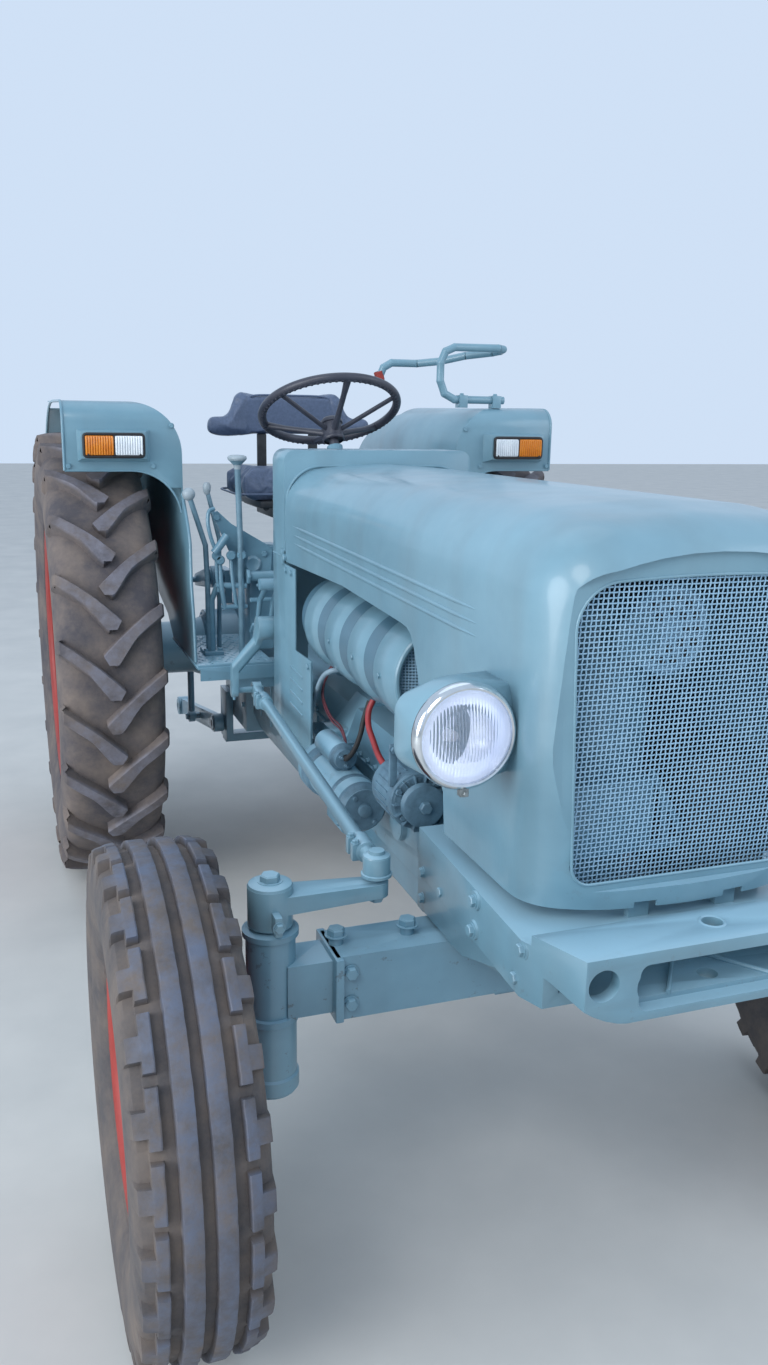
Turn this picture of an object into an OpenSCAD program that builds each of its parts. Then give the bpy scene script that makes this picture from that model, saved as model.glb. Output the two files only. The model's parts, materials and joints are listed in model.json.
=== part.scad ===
// Vintage farm tractor with an air-cooled four-cylinder engine.
// Ground is Z = 0, the front faces -Y, and the tractor's right side is -X.

/* [Overall] */
// Distance between the front and rear axles
wheelbase = 2150; // [2050:10:2300]
// How far the bumper stands ahead of the front axle
front_over = 505; // [480:5:560]

/* [Front wheels] */
// Radius over the front tread
front_r = 430; // [420:1:440]
// Width of a front tyre
front_tyre_w = 206; // [196:1:214]
// Distance from the centre plane to a front wheel's middle
front_half_track = 768; // [755:1:790]
// Radius of the front rim's bead seat
front_rim_r = 230; // [220:1:240]
// Shoulder blocks on each side of a front tyre
front_blocks = 26; // [22:1:30]

/* [Rear wheels] */
// Radius over the rear lugs
rear_r = 750; // [735:1:760]
// Width of a rear tyre
rear_tyre_w = 312; // [300:1:320]
// Distance from the centre plane to a rear wheel's middle
rear_half_track = 690; // [680:1:705]
// Radius of the rear rim's bead seat
rear_rim_r = 457; // [445:1:465]
// Lugs on each side of a rear tyre
rear_lugs = 23; // [18:1:24]
// Height of a rear lug
lug_h = 30; // [24:1:36]

/* [Front axle] */
// Distance from the centre plane to a kingpin
kingpin_x = 579; // [565:1:590]
// Height of the axle beam's middle
beam_z = 592; // [585:1:600]
// Height of the axle beam
beam_h = 122; // [110:1:130]
// Depth of the axle beam from front to rear
beam_d = 108; // [96:1:116]
// Outer end of the beam's wide sleeve
sleeve_x = 473; // [440:1:490]
// Radius of a kingpin
kingpin_r = 22; // [18:1:26]

/* [Steering] */
// Length of the arm on a knuckle
knuckle_arm = 195; // [185:1:205]
// Length of a drop arm
drop_arm = 178; // [170:1:186]
// How far the drop arms' shafts are behind the front axle
drop_y = 1280; // [1270:1:1300]
// Height of the drop arms' shafts
drop_z = 978; // [965:1:990]
// Distance from the centre plane to a drag link's rear eye
link_rear_x = 308; // [300:1:316]
// Distance from a drag link's rear eye to its drop arm
stud_gap = 64; // [58:1:70]
// Angle of the steering column from the vertical
column_tilt = 27; // [20:1:32]
// Distance from the drop arms' shafts to the steering wheel
column_len = 678; // [640:1:710]
// Radius of the steering wheel
wheel_rim_r = 220; // [200:1:235]

/* [Hood] */
// Half of the hood's width at the front
hood_half_w = 275; // [268:1:285]
// Height of the hood's top at the front corners
hood_top_z = 1445; // [1430:1:1460]
// Lower edge of the nose
hood_bottom_z = 846; // [843:1:850]
// How far the nose stands ahead of the front axle
nose_y = 415; // [405:1:422]
// How far the hood reaches behind the front axle
hood_rear_y = 1110; // [1095:1:1115]
// Radius of the hood's rounded corners
hood_round = 110; // [90:1:125]
// Thickness of the hood's sheet
sheet = 4; // [3:0.5:5]
// Half of the grille opening's width
grille_half_w = 228; // [220:1:230]
// Lower edge of the grille opening
grille_z0 = 890; // [886:1:900]
// Upper edge of the grille opening
grille_z1 = 1360; // [1345:1:1364]
// Radius of a headlamp's ring
lamp_r = 80; // [74:1:86]

/* [Cowl and bolster] */
// How far the cowl reaches behind the front axle
cowl_rear_y = 1240; // [1225:1:1246]
// Height of the cowl's top
cowl_top_z = 1480; // [1465:1:1490]
// Height of the bolster's top plate
bolster_top_z = 838; // [834:1:840]
// Height of the bumper
bumper_h = 108; // [100:1:116]
// Thickness of the bolster's walls
bolster_wall = 22; // [18:1:26]

/* [Fenders and cab floor] */
// Outer edge of a fender, from the centre plane
fender_x1 = 788; // [780:1:800]
// Inner panel of a fender, from the centre plane
fender_x0 = 445; // [438:1:460]
// Free height between a rear tyre and its fender
fender_gap = 98; // [85:1:110]
// How far a fender's front face stands ahead of the rear axle
fender_reach = 510; // [500:1:530]
// Height of the footplates
foot_z = 838; // [825:1:850]

/* [Linkage] */
// Length of a lower link from pivot to ball
lower_link = 830; // [800:1:860]
// Length of a lift arm and of the part of a lower link ahead of its rod
lift_r = 330; // [310:1:350]
// How far the links droop at rest
droop = 10; // [6:1:14]
// Height of the lower links' front pivots
link_z = 430; // [415:1:445]
// Height of the lift arms' shaft
lift_z = 985; // [965:1:1000]

/* [Hidden] */

$fn = 48;
paint = "#7fa8b4";
paint_dark = "#6d919c";
red = "#b3352c";
rubber = "#2b2724";
chrome = "#d5d9dc";
black = "#1f2024";
steel = "#8a8f93";
glass = "#dfe6ea";
brown = "#3a2a26";

pivot_y = 90;
ball_r = 40;
rear_over = pivot_y + lower_link * cos(droop) + ball_r;
front_axle_y = front_over - (front_over + wheelbase + rear_over) / 2;
rear_axle_y = front_axle_y + wheelbase;
fender_top_z = 2 * rear_r + fender_gap;
fender_front_y = wheelbase - fender_reach;
gap = 0.4;
over = 1;

// Moves to the front axle's line on the ground
module at_front() translate([0, front_axle_y, 0]) children();
// Moves to the rear axle's line on the ground
module at_rear() translate([0, rear_axle_y, 0]) children();
// A piece drawn on the left side, put on side s: 1 is left, -1 is right
module on_side(s) mirror([s < 0 ? 1 : 0, 0, 0]) children();
// A cylinder along X from x0 to x1
module rod_x(x0, x1, r) translate([x0, 0, 0]) rotate([0, 90, 0]) cylinder(h = x1 - x0, r = r);
// A cylinder along Y from y0 to y1
module rod_y(y0, y1, r) translate([0, y0, 0]) rotate([-90, 0, 0]) cylinder(h = y1 - y0, r = r);
// A polygon in Y and Z, extruded from x0 to x1
module slab_x(x0, x1, pts) translate([x0, 0, 0]) rotate([90, 0, 90]) linear_extrude(x1 - x0) polygon(pts);
// A polygon in X and Z, extruded from y0 to y1
module slab_y(y0, y1, pts)
    translate([0, y1, 0]) rotate([90, 0, 0]) linear_extrude(y1 - y0) polygon(pts);
// A box given by its two corners
module block(a, b) translate(a) cube(b - a);
// A round rod of radius r bent along the points, with a slightly fuller ball at each corner
module bent_rod(pts, r) for (i = [1:len(pts) - 1]) {
    run = pts[i] - pts[i - 1];
    translate(pts[i - 1]) rotate([0, acos(run[2] / norm(run)), atan2(run[1], run[0])]) cylinder(h = norm(run), r = r);
    if (i < len(pts) - 1) translate(pts[i]) sphere(r = r * 1.04);
}
// Points on an arc about c with radius r, from angle a to angle b
function arc(c, r, a, b, n = 8) = [for (i = [0:n]) let (t = a + (b - a) * i / n) c + r * [cos(t), sin(t)]];
// The points on the +X side, followed by their mirror images
function both_sides(half) = concat(half, [for (i = [len(half) - 1:-1:0]) [-half[i][0], half[i][1]]]);

// Bolster

bumper_w = 247;
shoulder_x = 291;
shoulder_y = -388;
bolster_rear_y = 84;
bolster_rear_x = 270;
tow_pin_y = -448;
tow_pin_r = 16;
pivot_r = 26;

function bolster_outline(in) = [
    [-bumper_w + in * 0.8, -front_over + in], [bumper_w - in * 0.8, -front_over + in],
    [shoulder_x - in, shoulder_y + in * 0.4], [bolster_rear_x - in, bolster_rear_y - in],
    [-bolster_rear_x + in, bolster_rear_y - in], [-shoulder_x + in, shoulder_y + in * 0.4]];

slot_x = 130;
slot_z = 784;
slot_r = 32;
hinge_x = 80;
hinge_y = -nose_y + 51;
hinge_z = hood_bottom_z + 6;
hinge_pin_r = 3.5;
hinge_r = 6.5;
hood_step = 16;

module bolster() color(paint) at_front() {
    bolster_casting();
    for (s = [-1, 1]) difference() {
        union() {
            block([s * hinge_x - 18, hinge_y - hinge_r, bolster_top_z - hood_step - over],
                [s * hinge_x + 18, hinge_y + hinge_r, hinge_z]);
            translate([0, hinge_y, hinge_z]) rod_x(s * hinge_x - 18, s * hinge_x + 18, hinge_r);
        }
        translate([0, hinge_y, hinge_z]) rod_x(s * hinge_x - 19, s * hinge_x + 19, hinge_pin_r + gap);
    }
}

module bolster_casting() difference() {
    top = bolster_top_z;
    low = bolster_top_z - bumper_h;
    hood_step_y = -nose_y + 8;
    union() {
        difference() {
            translate([0, 0, low]) linear_extrude(bumper_h) polygon(bolster_outline(0));
            translate([0, 0, low - over])
                linear_extrude(bumper_h - bolster_wall + over) polygon(bolster_outline(bolster_wall));
        }
        translate([0, 0, low]) linear_extrude(bolster_wall) polygon([[-bumper_w, -front_over],
            [bumper_w, -front_over], [shoulder_x, shoulder_y], [-shoulder_x, shoulder_y]]);
        for (s = [-1, 1]) on_side(s)
            slab_x(bolster_rear_x - bolster_wall, bolster_rear_x,
                [[shoulder_y + 60, low + over], [-130, 664], [bolster_rear_y, 664],
                 [bolster_rear_y, top - over], [shoulder_y + 60, top - over]]);
        for (y = [[-beam_d / 2 - 34, -beam_d / 2 - 8], [beam_d / 2 + 6, bolster_rear_y]])
            slab_y(y[0], y[1], [[-bolster_rear_x + over, low], [-bolster_rear_x + over, 660], [-90, beam_z - 60],
                [90, beam_z - 60], [bolster_rear_x - over, 660], [bolster_rear_x - over, low],
                [bolster_rear_x - over, top - over], [-bolster_rear_x + over, top - over]]);
        block([-150, bolster_rear_y - bolster_wall, 560], [150, bolster_rear_y, low + over]);
        translate([0, 0, beam_z]) rod_y(-beam_d / 2 - 52, bolster_rear_y, pivot_r);
    }
    block([-shoulder_x - over, hood_step_y, top - hood_step], [shoulder_x + over, bolster_rear_y + over, top + over]);
    for (s = [-1, 1]) translate([s * 217, 0, 796]) rod_y(-front_over - over, -front_over + 60, 25);
    for (s = [-1, 1]) translate([s * slot_x, 0, slot_z]) rod_y(-front_over - over, -front_over + 60, slot_r);
    block([-slot_x, -front_over - over, slot_z - slot_r], [slot_x, -front_over + 60, slot_z + slot_r]);
    translate([0, tow_pin_y, low - over]) cylinder(h = bumper_h + 2 * over, r = tow_pin_r);
}

// Front axle

housing_r = 44;
housing_z0 = 528;
housing_z1 = 704;

module front_axle() color(paint) at_front() difference() {
    union() {
        for (s = [-1, 1]) on_side(s) {
            block([40, -beam_d / 2, beam_z - beam_h / 2], [sleeve_x, beam_d / 2, beam_z + beam_h / 2]);
            block([sleeve_x - over, -beam_d / 2 + 11, beam_z - beam_h / 2 + 11],
                [kingpin_x - 20, beam_d / 2 - 11, beam_z + beam_h / 2 - 11]);
            translate([kingpin_x, 0, housing_z0]) cylinder(h = housing_z1 - housing_z0, r = housing_r);
            for (x = [sleeve_x - 14, sleeve_x - 150]) translate([x, 0, beam_z + beam_h / 2 - over])
                cylinder(h = 18, r = 13);
        }
        block([-50, -beam_d / 2, beam_z - beam_h / 2], [50, beam_d / 2, beam_z + beam_h / 2]);
    }
    translate([0, 0, beam_z]) rod_y(-beam_d, beam_d, pivot_r + gap);
    for (s = [-1, 1]) translate([s * kingpin_x, 0, housing_z0 - over])
        cylinder(h = housing_z1 - housing_z0 + 2 * over, r = kingpin_r + gap);
}

// Engine

engine_front_y = bolster_rear_y + 0.3;
engine_rear_y = 830;
bore_pitch = 172;
first_bore_y = 200;
case_w = 175;
deck_z = 850;
head_w = 190;

module engine_block() color(paint_dark) at_front() {
    slab_y(engine_front_y, engine_rear_y, [[-95, 440], [95, 440], [125, 480], [125, 560], [case_w, 600],
        [case_w, 780], [150, deck_z], [-150, deck_z], [-case_w, 780], [-case_w, 600], [-125, 560], [-125, 480]]);
    translate([0, 0, 640]) rod_y(engine_front_y + over, engine_front_y + 60, 170);
    for (y = [260, 430, 600]) translate([0, y, 690]) rod_x(-case_w - 12, case_w + 12, 38);
}

module cylinders() color(steel) at_front() {
    for (i = [0:3]) translate([0, first_bore_y + i * bore_pitch, deck_z + 0.2]) {
        rotate_extrude() polygon(concat([[0, 0], [62, 0]],
            [for (k = [0:9], p = [[62, 14 + k * 20], [76, 16 + k * 20], [76, 22 + k * 20], [62, 24 + k * 20]]) p],
            [[62, 215], [0, 215]]));
        block([-head_w / 2, -72, 214], [head_w / 2, 72, 330]);
        block([-70, -60, 329], [70, 60, 380]);
    }
}

barrel_x = 150;
barrel_z = 1060;
barrel_r = 120;
barrel_y0 = 265;
band = 178;

module fan_casing() color(paint) at_front() translate([-barrel_x, barrel_y0, barrel_z]) {
    difference() {
        rotate([-90, 0, 0]) rotate_extrude() polygon(concat(
            [[0, 40], [barrel_r - 22, 40], [barrel_r - 22, 0], [barrel_r - 10, 0]],
            [for (k = [0:3], p = [[barrel_r - 10, 14 + k * band], [barrel_r - 2, 34 + k * band],
                [barrel_r, 60 + k * band], [barrel_r, 128 + k * band], [barrel_r - 8, 150 + k * band],
                [barrel_r - 18, 158 + k * band], [barrel_r - 18, 176 + k * band]]) p],
            [[barrel_r - 18, 4 * band + 14], [0, 4 * band + 14]]));
        block([barrel_x - head_w / 2 - 0.3, -over, -barrel_r - over],
            [barrel_r + over, 5 * band, barrel_r + over]);
    }
}

panel_front_y = 800;
starter_x = 250;
starter_y = 480;
starter_z = 716;

module starter() color(paint_dark) at_front() {
    translate([-starter_x, 0, starter_z]) {
        rod_y(starter_y, 770, 55);
        rod_y(starter_y - 12, starter_y + over, 48);
        rod_y(starter_y - 22, starter_y - 11, 14);
    }
    translate([-starter_x - 8, 0, starter_z + 82]) rod_y(600, 740, 30);
    block([-starter_x - 20, 640, starter_z + 40], [-starter_x + 5, 700, starter_z + 60]);
    translate([-starter_x, 0, starter_z]) rod_y(769, panel_front_y - 1, 64);
    block([-starter_x, 775, starter_z - 60], [-case_w - 0.3, panel_front_y - 1, starter_z + 60]);
}

alt_x = 225;
alt_y = 205;
alt_z = 826;

module alternator() color(steel) at_front() {
    translate([-alt_x, 0, alt_z]) {
        rod_y(alt_y, alt_y + 120, 58);
        rod_y(alt_y - 14, alt_y + over, 14);
        rotate([-90, 0, 0]) translate([0, 0, alt_y - 34]) rotate_extrude()
            polygon([[0, 0], [42, 0], [34, 9], [34, 13], [42, 22], [0, 22]]);
    }
    block([-alt_x, alt_y + 20, alt_z - 74], [-case_w - 0.3, alt_y + 50, alt_z - 40]);
}

manifold_x = 150;
manifold_z = 1090;
down_x = 215;
down_y = first_bore_y + 3 * bore_pitch + 20;
muffler_x = 262;
muffler_z = 560;

module exhaust() color(brown) at_front() {
    translate([manifold_x, 0, manifold_z]) rod_y(first_bore_y - 40, down_y + 24, 30);
    for (i = [0:3]) translate([0, first_bore_y + i * bore_pitch, manifold_z])
        rod_x(head_w / 2 + 0.3, manifold_x, 24);
    translate([0, down_y, manifold_z]) rod_x(manifold_x, down_x, 26);
    translate([down_x, down_y, muffler_z]) cylinder(h = manifold_z - muffler_z, r = 26);
    translate([down_x, down_y, manifold_z]) sphere(r = 28);
    translate([down_x, down_y, muffler_z]) sphere(r = 28);
    translate([down_x, 0, muffler_z]) rod_y(down_y, panel_front_y + 21, 26);
    translate([muffler_x, 0, muffler_z]) rod_y(panel_front_y + 20, 1330, 62);
    translate([muffler_x + 10, 0, muffler_z]) rod_y(1329, 1600, 24);
}

module air_cleaner() color(paint_dark) at_front() {
    translate([-70, -170, 960]) cylinder(h = 330, r = 90);
    translate([-70, 0, 1250]) rod_y(-300, -170, 40);
    block([-120, -220, bolster_top_z - hood_step + 0.3], [-20, -120, 961]);
}

module battery() color(black) at_front()
    block([40, -310, bolster_top_z - hood_step + 0.3], [200, -150, 1050]);

// Gearbox and rear axle

axle_housing_r = 92;
pto_z = 600;
hub_x = 545;

module gearbox() color(paint_dark) at_front() {
    rear = wheelbase - 190;
    slab_y(engine_rear_y + 0.3, 960, [[-190, 520], [-110, 450], [110, 450], [190, 520], [190, 760], [110, 860],
        [-110, 860], [-190, 760]]);
    slab_y(959, rear, [[-140, 480], [140, 480], [165, 540], [165, 780], [130, 830], [-130, 830], [-165, 780],
        [-165, 540]]);
    translate([0, drop_y, 829]) cylinder(h = 100, r = 70);
}

module rear_axle() color(paint_dark) at_rear() difference() {
    union() {
        slab_x(-190, 190, [[-189.7, 470], [60, 470], [170, 540], [170, 900], [-60, 900], [-189.7, 830]]);
        for (s = [-1, 1]) on_side(s) translate([0, 0, rear_r]) {
            rod_x(189, 300, 130);
            rod_x(299, hub_x - 40, axle_housing_r);
            rod_x(hub_x - 41, hub_x - 0.4, 118);
        }
        for (s = [-1, 1]) on_side(s)
            block([189, 30, lift_z - 90], [215, 150, lift_z + 30]);
        block([-150, 20, 899], [150, 160, lift_z + 20]);
        translate([0, 0, pto_z]) rod_y(169, 190, 60);
        translate([0, 0, pto_z]) rod_y(189, 262, 17.5);
        for (s = [-1, 1]) on_side(s) block([28, 159, lift_z - 70], [44, 205, lift_z - 5]);
    }
    translate([0, 90, lift_z]) rod_x(-220, 220, 30 + gap);
    translate([0, 188, lift_z - 38]) rod_x(-50, 50, 9.5);
}

module drawbar() color(paint_dark) at_rear() difference() {
    union() {
        block([-45, -40, 360], [45, 380, 390]);
        for (s = [-1, 1]) on_side(s) {
            block([190.3, 40, link_z - 60], [216, 150, 560]);
            block([44, 60, 360], [216, 120, 390]);
            translate([0, 90, link_z]) rod_x(215, 262, 14);
        }
    }
    translate([0, 340, 359]) cylinder(h = 32, r = 15);
}

// Cowl and steering column

module cowl_shape(in, y0, y1) translate([0, y1, 0]) rotate([90, 0, 0]) linear_extrude(y1 - y0) {
    r = hood_round - in;
    cx = hood_half_w - 10 - hood_round;
    hull() for (s = [-1, 1]) translate([s * cx, cowl_top_z - hood_round]) circle(r = r);
    translate([-cx - r, 640 + in]) square([2 * (cx + r), cowl_top_z - hood_round - 640 - in]);
}

panel_top_y = 1010;
lower_panel_y = 855;
lower_panel_z0 = 712;
lower_panel_z1 = 972;

// The hood's outline at its rear edge, moved inwards by in
module hood_rear_profile(in) hull() {
    for (s = [-1, 1]) {
        translate([s * (hood_half_w - hood_round - 10), hood_top_z - 10 - hood_round])
            circle(r = hood_round - in, $fn = 32);
        translate([s * (hood_half_w - 20 - in) - 0.5, hood_bottom_z]) square(1);
    }
    translate([0, hood_top_z - hood_round]) circle(r = hood_round - in, $fn = 32);
}

module cowl() color(paint) at_front() {
    front = hood_rear_y + 6;
    difference() {
        cowl_shape(0, front, cowl_rear_y);
        cowl_shape(sheet, front - over, cowl_rear_y - sheet);
        block([-400, 0, 0], [400, cowl_rear_y + over, 700]);
        block([-200, 0, 0], [200, cowl_rear_y + over, 960]);
    }
    for (s = [-1, 1]) on_side(s) {
        slab_x(hood_half_w - 10 - sheet, hood_half_w - 10, [[lower_panel_y, lower_panel_z0],
            [front + over, lower_panel_z0], [front + over, 1182], [panel_top_y, 1182],
            [panel_top_y, lower_panel_z1 - 4], [lower_panel_y, lower_panel_z1]]);
        block([190.3, 870, 720], [hood_half_w - 10 - sheet + over, 950, 740]);
    }
    difference() {
        cowl_shape(over, front, front + 4);
        block([-400, 0, 0], [400, front + 5, 700]);
        block([-200, 0, 0], [200, front + 5, 960]);
    }
    translate([0, front + over, 0]) rotate([90, 0, 0]) linear_extrude(front + over - hood_rear_y + 25)
        difference() {
            hood_rear_profile(sheet + 0.5);
            hood_rear_profile(sheet + 4);
            translate([-400, 0]) square([800, 1205]);
        }
}

drop_boss_x = 257;

module steering_column() color(paint_dark) at_front() translate([0, drop_y, drop_z]) {
    rod_x(-drop_boss_x + 0.5, drop_boss_x - 0.5, 32);
    translate([0, 45, -48.7]) cylinder(h = 100, r = 80);
    rotate([-column_tilt, 0, 0]) cylinder(h = column_len - 119.5, r = 24);
}

// Cab floor, fenders and seat

foot_y0 = drop_y + 140;
foot_x0 = 215;

module footplates() color(paint_dark) at_front() for (s = [-1, 1]) on_side(s) {
    block([foot_x0, foot_y0, foot_z - 6], [fender_x0 + 6, wheelbase - 250, foot_z]);
    block([foot_x0, foot_y0, foot_z - 40], [fender_x0 - 2, foot_y0 + 6, foot_z - 5]);
    block([165.3, foot_y0 + 80, foot_z - 90], [foot_x0 + 100, foot_y0 + 120, foot_z - 5.8]);
    block([foot_x0 + 99, foot_y0 + 80, foot_z - 50], [400, foot_y0 + 120, foot_z - 5.8]);
}

fender_round = 150;
fender_nose_r = 60;
lamp_x0 = 563;
lamp_x1 = 732;
lamp_drop = 93;
lamp_h = 64;
lamp_out = 40;

module fender_profile(in) {
    r = fender_nose_r;
    rear_y = wheelbase + 200;
    translate([fender_front_y + r, fender_top_z - r]) circle(r = r - in);
    translate([fender_front_y + in, fender_top_z - 250]) square([rear_y - fender_front_y, 250 - r]);
    translate([fender_front_y + r, fender_top_z - 250]) square([rear_y - fender_front_y - r, 250 - in]);
    intersection() {
        translate([wheelbase, rear_r]) circle(r = fender_top_z - rear_r - in, $fn = 240);
        translate([wheelbase, rear_r + 200]) square([900, 900]);
    }
}

// Everything outside a fender's rounded inner corner, lowered by down and moved in by in
module fender_section(in, down, y0, y1)
    translate([0, y1, -down]) rotate([90, 0, 0]) linear_extrude(y1 - y0) {
        r = fender_round;
        translate([fender_x0 + r, 300]) square([500, fender_top_z - 300 - in]);
        translate([fender_x0 + r, fender_top_z - r]) circle(r = r - in);
        translate([fender_x0 + in, 300]) square([r, fender_top_z - r - 300]);
    }

module fender_body(in) intersection() {
    translate([fender_x0 + in, 0, 0]) rotate([90, 0, 90]) linear_extrude(fender_x1 - fender_x0 + in)
        fender_profile(in);
    fender_section(in, 0, fender_front_y - over, wheelbase + 900);
}

module fender() at_front() {
    z1 = fender_top_z - lamp_drop;
    z0 = z1 - lamp_h;
    difference() {
        fender_body(0);
        fender_body(sheet);
        fender_section(sheet, 195, 0, wheelbase + 100);
    }
    slab_x(fender_x0, fender_x0 + sheet, [[fender_front_y - 166, foot_z + 0.3], [fender_front_y - 152, 956],
        [fender_front_y - 120, 1073], [fender_front_y - 117, 1194], [fender_front_y - 88, 1239],
        [fender_front_y + over, 1330], [fender_front_y + over, fender_top_z - fender_round],
        [wheelbase + 101, fender_top_z - fender_round], [wheelbase + 101, 950], [wheelbase - 150, 900],
        [wheelbase - 260, foot_z + 0.3]]);
    hull() {
        block([lamp_x0 - 22, fender_front_y, z0 - 16], [lamp_x1 + 16, fender_front_y + over, z1 + 12]);
        block([lamp_x0 - 8, fender_front_y - lamp_out, z0 - 6], [lamp_x1 + 8, fender_front_y, z1 + 7]);
    }
}

module fender_right() color(paint) on_side(-1) fender();
module fender_left() color(paint) on_side(1) fender();

module fender_lamps() color("#d8802a") at_front() for (s = [-1, 1]) on_side(s)
    block([lamp_x0, fender_front_y - lamp_out - 12, fender_top_z - lamp_drop - lamp_h],
        [lamp_x1, fender_front_y - lamp_out - 0.3, fender_top_z - lamp_drop]);

rail_r = 12.5;
rail_y = fender_front_y + 62;

module grab_rail() color(paint) at_front() translate([0, rail_y, fender_top_z]) {
    top = 190;
    bent_rod([[636, 0, 26], [460, 0, 26], [424, 0, 44], [408, 0, 84], [408, 0, top - 50], [424, 0, top - 14],
        [456, 0, top], [612, 4, top + 2], [638, 20, top], [640, 44, top - 4], [620, 64, top - 9],
        [540, 110, top - 20], [470, 160, top - 38], [400, 196, top - 46], [312, 204, top - 46],
        [284, 206, top - 62], [270, 208, top - 96]], rail_r);
    for (x = [486, 606]) difference() {
        block([x - 14, -19, 0.3], [x + 14, 19, 40]);
        translate([0, 0, 26]) rod_x(x - 15, x + 15, rail_r + 0.3);
    }
}

seat_y = wheelbase - 380;
seat_z = 1310;

// The seat's back, in X and Z, made smaller by in
function seat_back(in) = both_sides([[0, seat_z + 342 - in], [182 - in, seat_z + 338 - in], [198 - in, seat_z + 326 - in],
    [236 - in, seat_z + 250], [290 - in, seat_z + 246 - in], [300 - in, seat_z + 226], [288 - in, seat_z + 192 + in],
    [150, seat_z + 172 + in], [0, seat_z + 168 + in]]);

module seat() color(black) at_front() translate([0, seat_y, 0]) {
    hull() for (s = [-1, 1], y = [[40, 0], [300, -14]])
        translate([s * 212, y[0], seat_z + 38 + y[1]]) sphere(r = 42, $fn = 32);
    translate([0, 310, 0]) slab_y(0, 70, seat_back(0));
    translate([0, 298, 0]) slab_y(0, 13, seat_back(12));
    for (s = [-1, 1]) hull() for (y = [235, 330]) translate([s * 268, y, seat_z + 219]) sphere(r = 28, $fn = 32);
    block([-110, 325, seat_z], [110, 345, seat_z + 170]);
}

module seat_base() color(black) at_front() translate([0, seat_y, 0]) {
    block([-170, 20, seat_z - 40], [170, 348, seat_z - 18.1]);
    for (x = [-110, 90]) block([x, 335 - 290, seat_z - 80], [x + 20, 345, seat_z - 39]);
    block([-60, 70, 830.3], [60, 185, seat_z - 39]);
}

module levers() color(steel) at_front() {
    bent_rod([[-289, 1560, foot_z + 0.3], [-289, 1560, 1190], [-295, 1560, 1425]], 9);
    translate([-295, 1560, 1420]) cylinder(h = 14, r1 = 12, r2 = 26);
    translate([-295, 1560, 1433]) cylinder(h = 10, r1 = 26, r2 = 20);
    bent_rod([[-384, 1600, foot_z + 0.3], [-384, 1600, 1060], [-388, 1600, 1178], [-435, 1600, 1330]], 8);
    translate([-435, 1600, 1332]) sphere(r = 19);
    bent_rod([[-340, 1660, foot_z + 0.3], [-334, 1660, 1190], [-357, 1660, 1290], [-369, 1660, 1340]], 7);
    bent_rod([[300, 1560, foot_z + 0.3], [300, 1560, 1150], [320, 1560, 1290]], 8);
    translate([320, 1560, 1292]) sphere(r = 19);
}

pedal_y = cowl_rear_y + 90;
pedal_z = 1095;

module pedals() color(paint_dark) at_front() for (s = [-1, 1]) on_side(s) {
    translate([0, pedal_y, pedal_z]) rod_x(62, 285, 17);
    block([62, cowl_rear_y + 0.3, pedal_z - 14], [84, pedal_y, pedal_z + 14]);
    for (x = s < 0 ? [222, 262] : [262]) {
        bent_rod([[x, pedal_y, pedal_z], [x, pedal_y + 90, pedal_z - 60], [x, pedal_y + 135, foot_z + 104]], 8);
        translate([x, pedal_y + 140, foot_z + 100]) rotate([-35, 0, 0]) block([-17, -26, 0], [17, 26, 9]);
    }
}

// Hood

// The hood's outer form, or its inner form when in is the sheet's thickness
module hood_form(in) {
    r = hood_round - in;
    cx = hood_half_w - hood_round;
    top = hood_top_z - hood_round;
    waist_z = hood_bottom_z + 254;
    low = hood_bottom_z - in;
    hull() for (s = [-1, 1]) {
        for (x = [[s * cx, -10], [0, 0]]) {
            translate([x[0], -nose_y + hood_round, top + x[1]]) sphere(r = r, $fn = 32);
            translate([x[0], -nose_y + hood_round + 105, top + x[1] + 10]) sphere(r = r, $fn = 32);
            translate([x[0] * (1 - 10 / cx), hood_rear_y + in, top + x[1]])
                rotate([90, 0, 0]) cylinder(h = 1, r = r, $fn = 32);
        }
        translate([s * (hood_half_w - 70), -nose_y + 81, waist_z]) cylinder(h = 1, r = 70 - in, $fn = 32);
        translate([0, -nose_y + 23, waist_z]) cylinder(h = 1, r = 20 - in, $fn = 32);
        translate([s * (hood_half_w - 105), -nose_y + 151, low]) cylinder(h = 1, r = 88 - in, $fn = 32);
        for (x = [[0, 47], [92, 55], [140, 65]])
            translate([s * x[0], -nose_y + x[1], low]) cylinder(h = 1, r = 20 - in, $fn = 32);
        translate([s * (hood_half_w - 20 - in) - 0.5, hood_rear_y - 1 + in, low]) cube([1, 1, 1]);
    }
}

// Lower edge of the hood's open side: distance behind the front axle and height
side_edge = [[-14, 925], [105, 1102], [135, 1162], [157, 1186], [180, 1192], [292, 1196], [593, 1205],
    [962, 1195], [hood_rear_y + 10, 1190]];
bezel_w = 28;
bezel_crown = 34;

// The grille's opening, made smaller by in
module grille_outline(in) polygon(both_sides(concat([[0, grille_z1 - in]],
    arc([grille_half_w - 70, grille_z1 - 75], 70 - in, 84, 0),
    arc([grille_half_w - 55, grille_z0 + 35], 35 - in, 0, -90))));

// The flat frame around the grille's opening, made smaller by in
module bezel_outline(in) polygon(both_sides(concat([[0, grille_z1 + bezel_crown - in]],
    arc([grille_half_w + bezel_w - 85, grille_z1 - 74], 85 - in, 84, 0),
    [[grille_half_w + bezel_w - in, grille_z0 + 260]],
    arc([grille_half_w - 44, grille_z0 + 28], 40 - in, 0, -90))));

mesh_lean = 4.3;
mesh_y = 70.5;
bezel_lean = 1.2;
bezel_y = 38;
mesh_t = 3;

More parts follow.
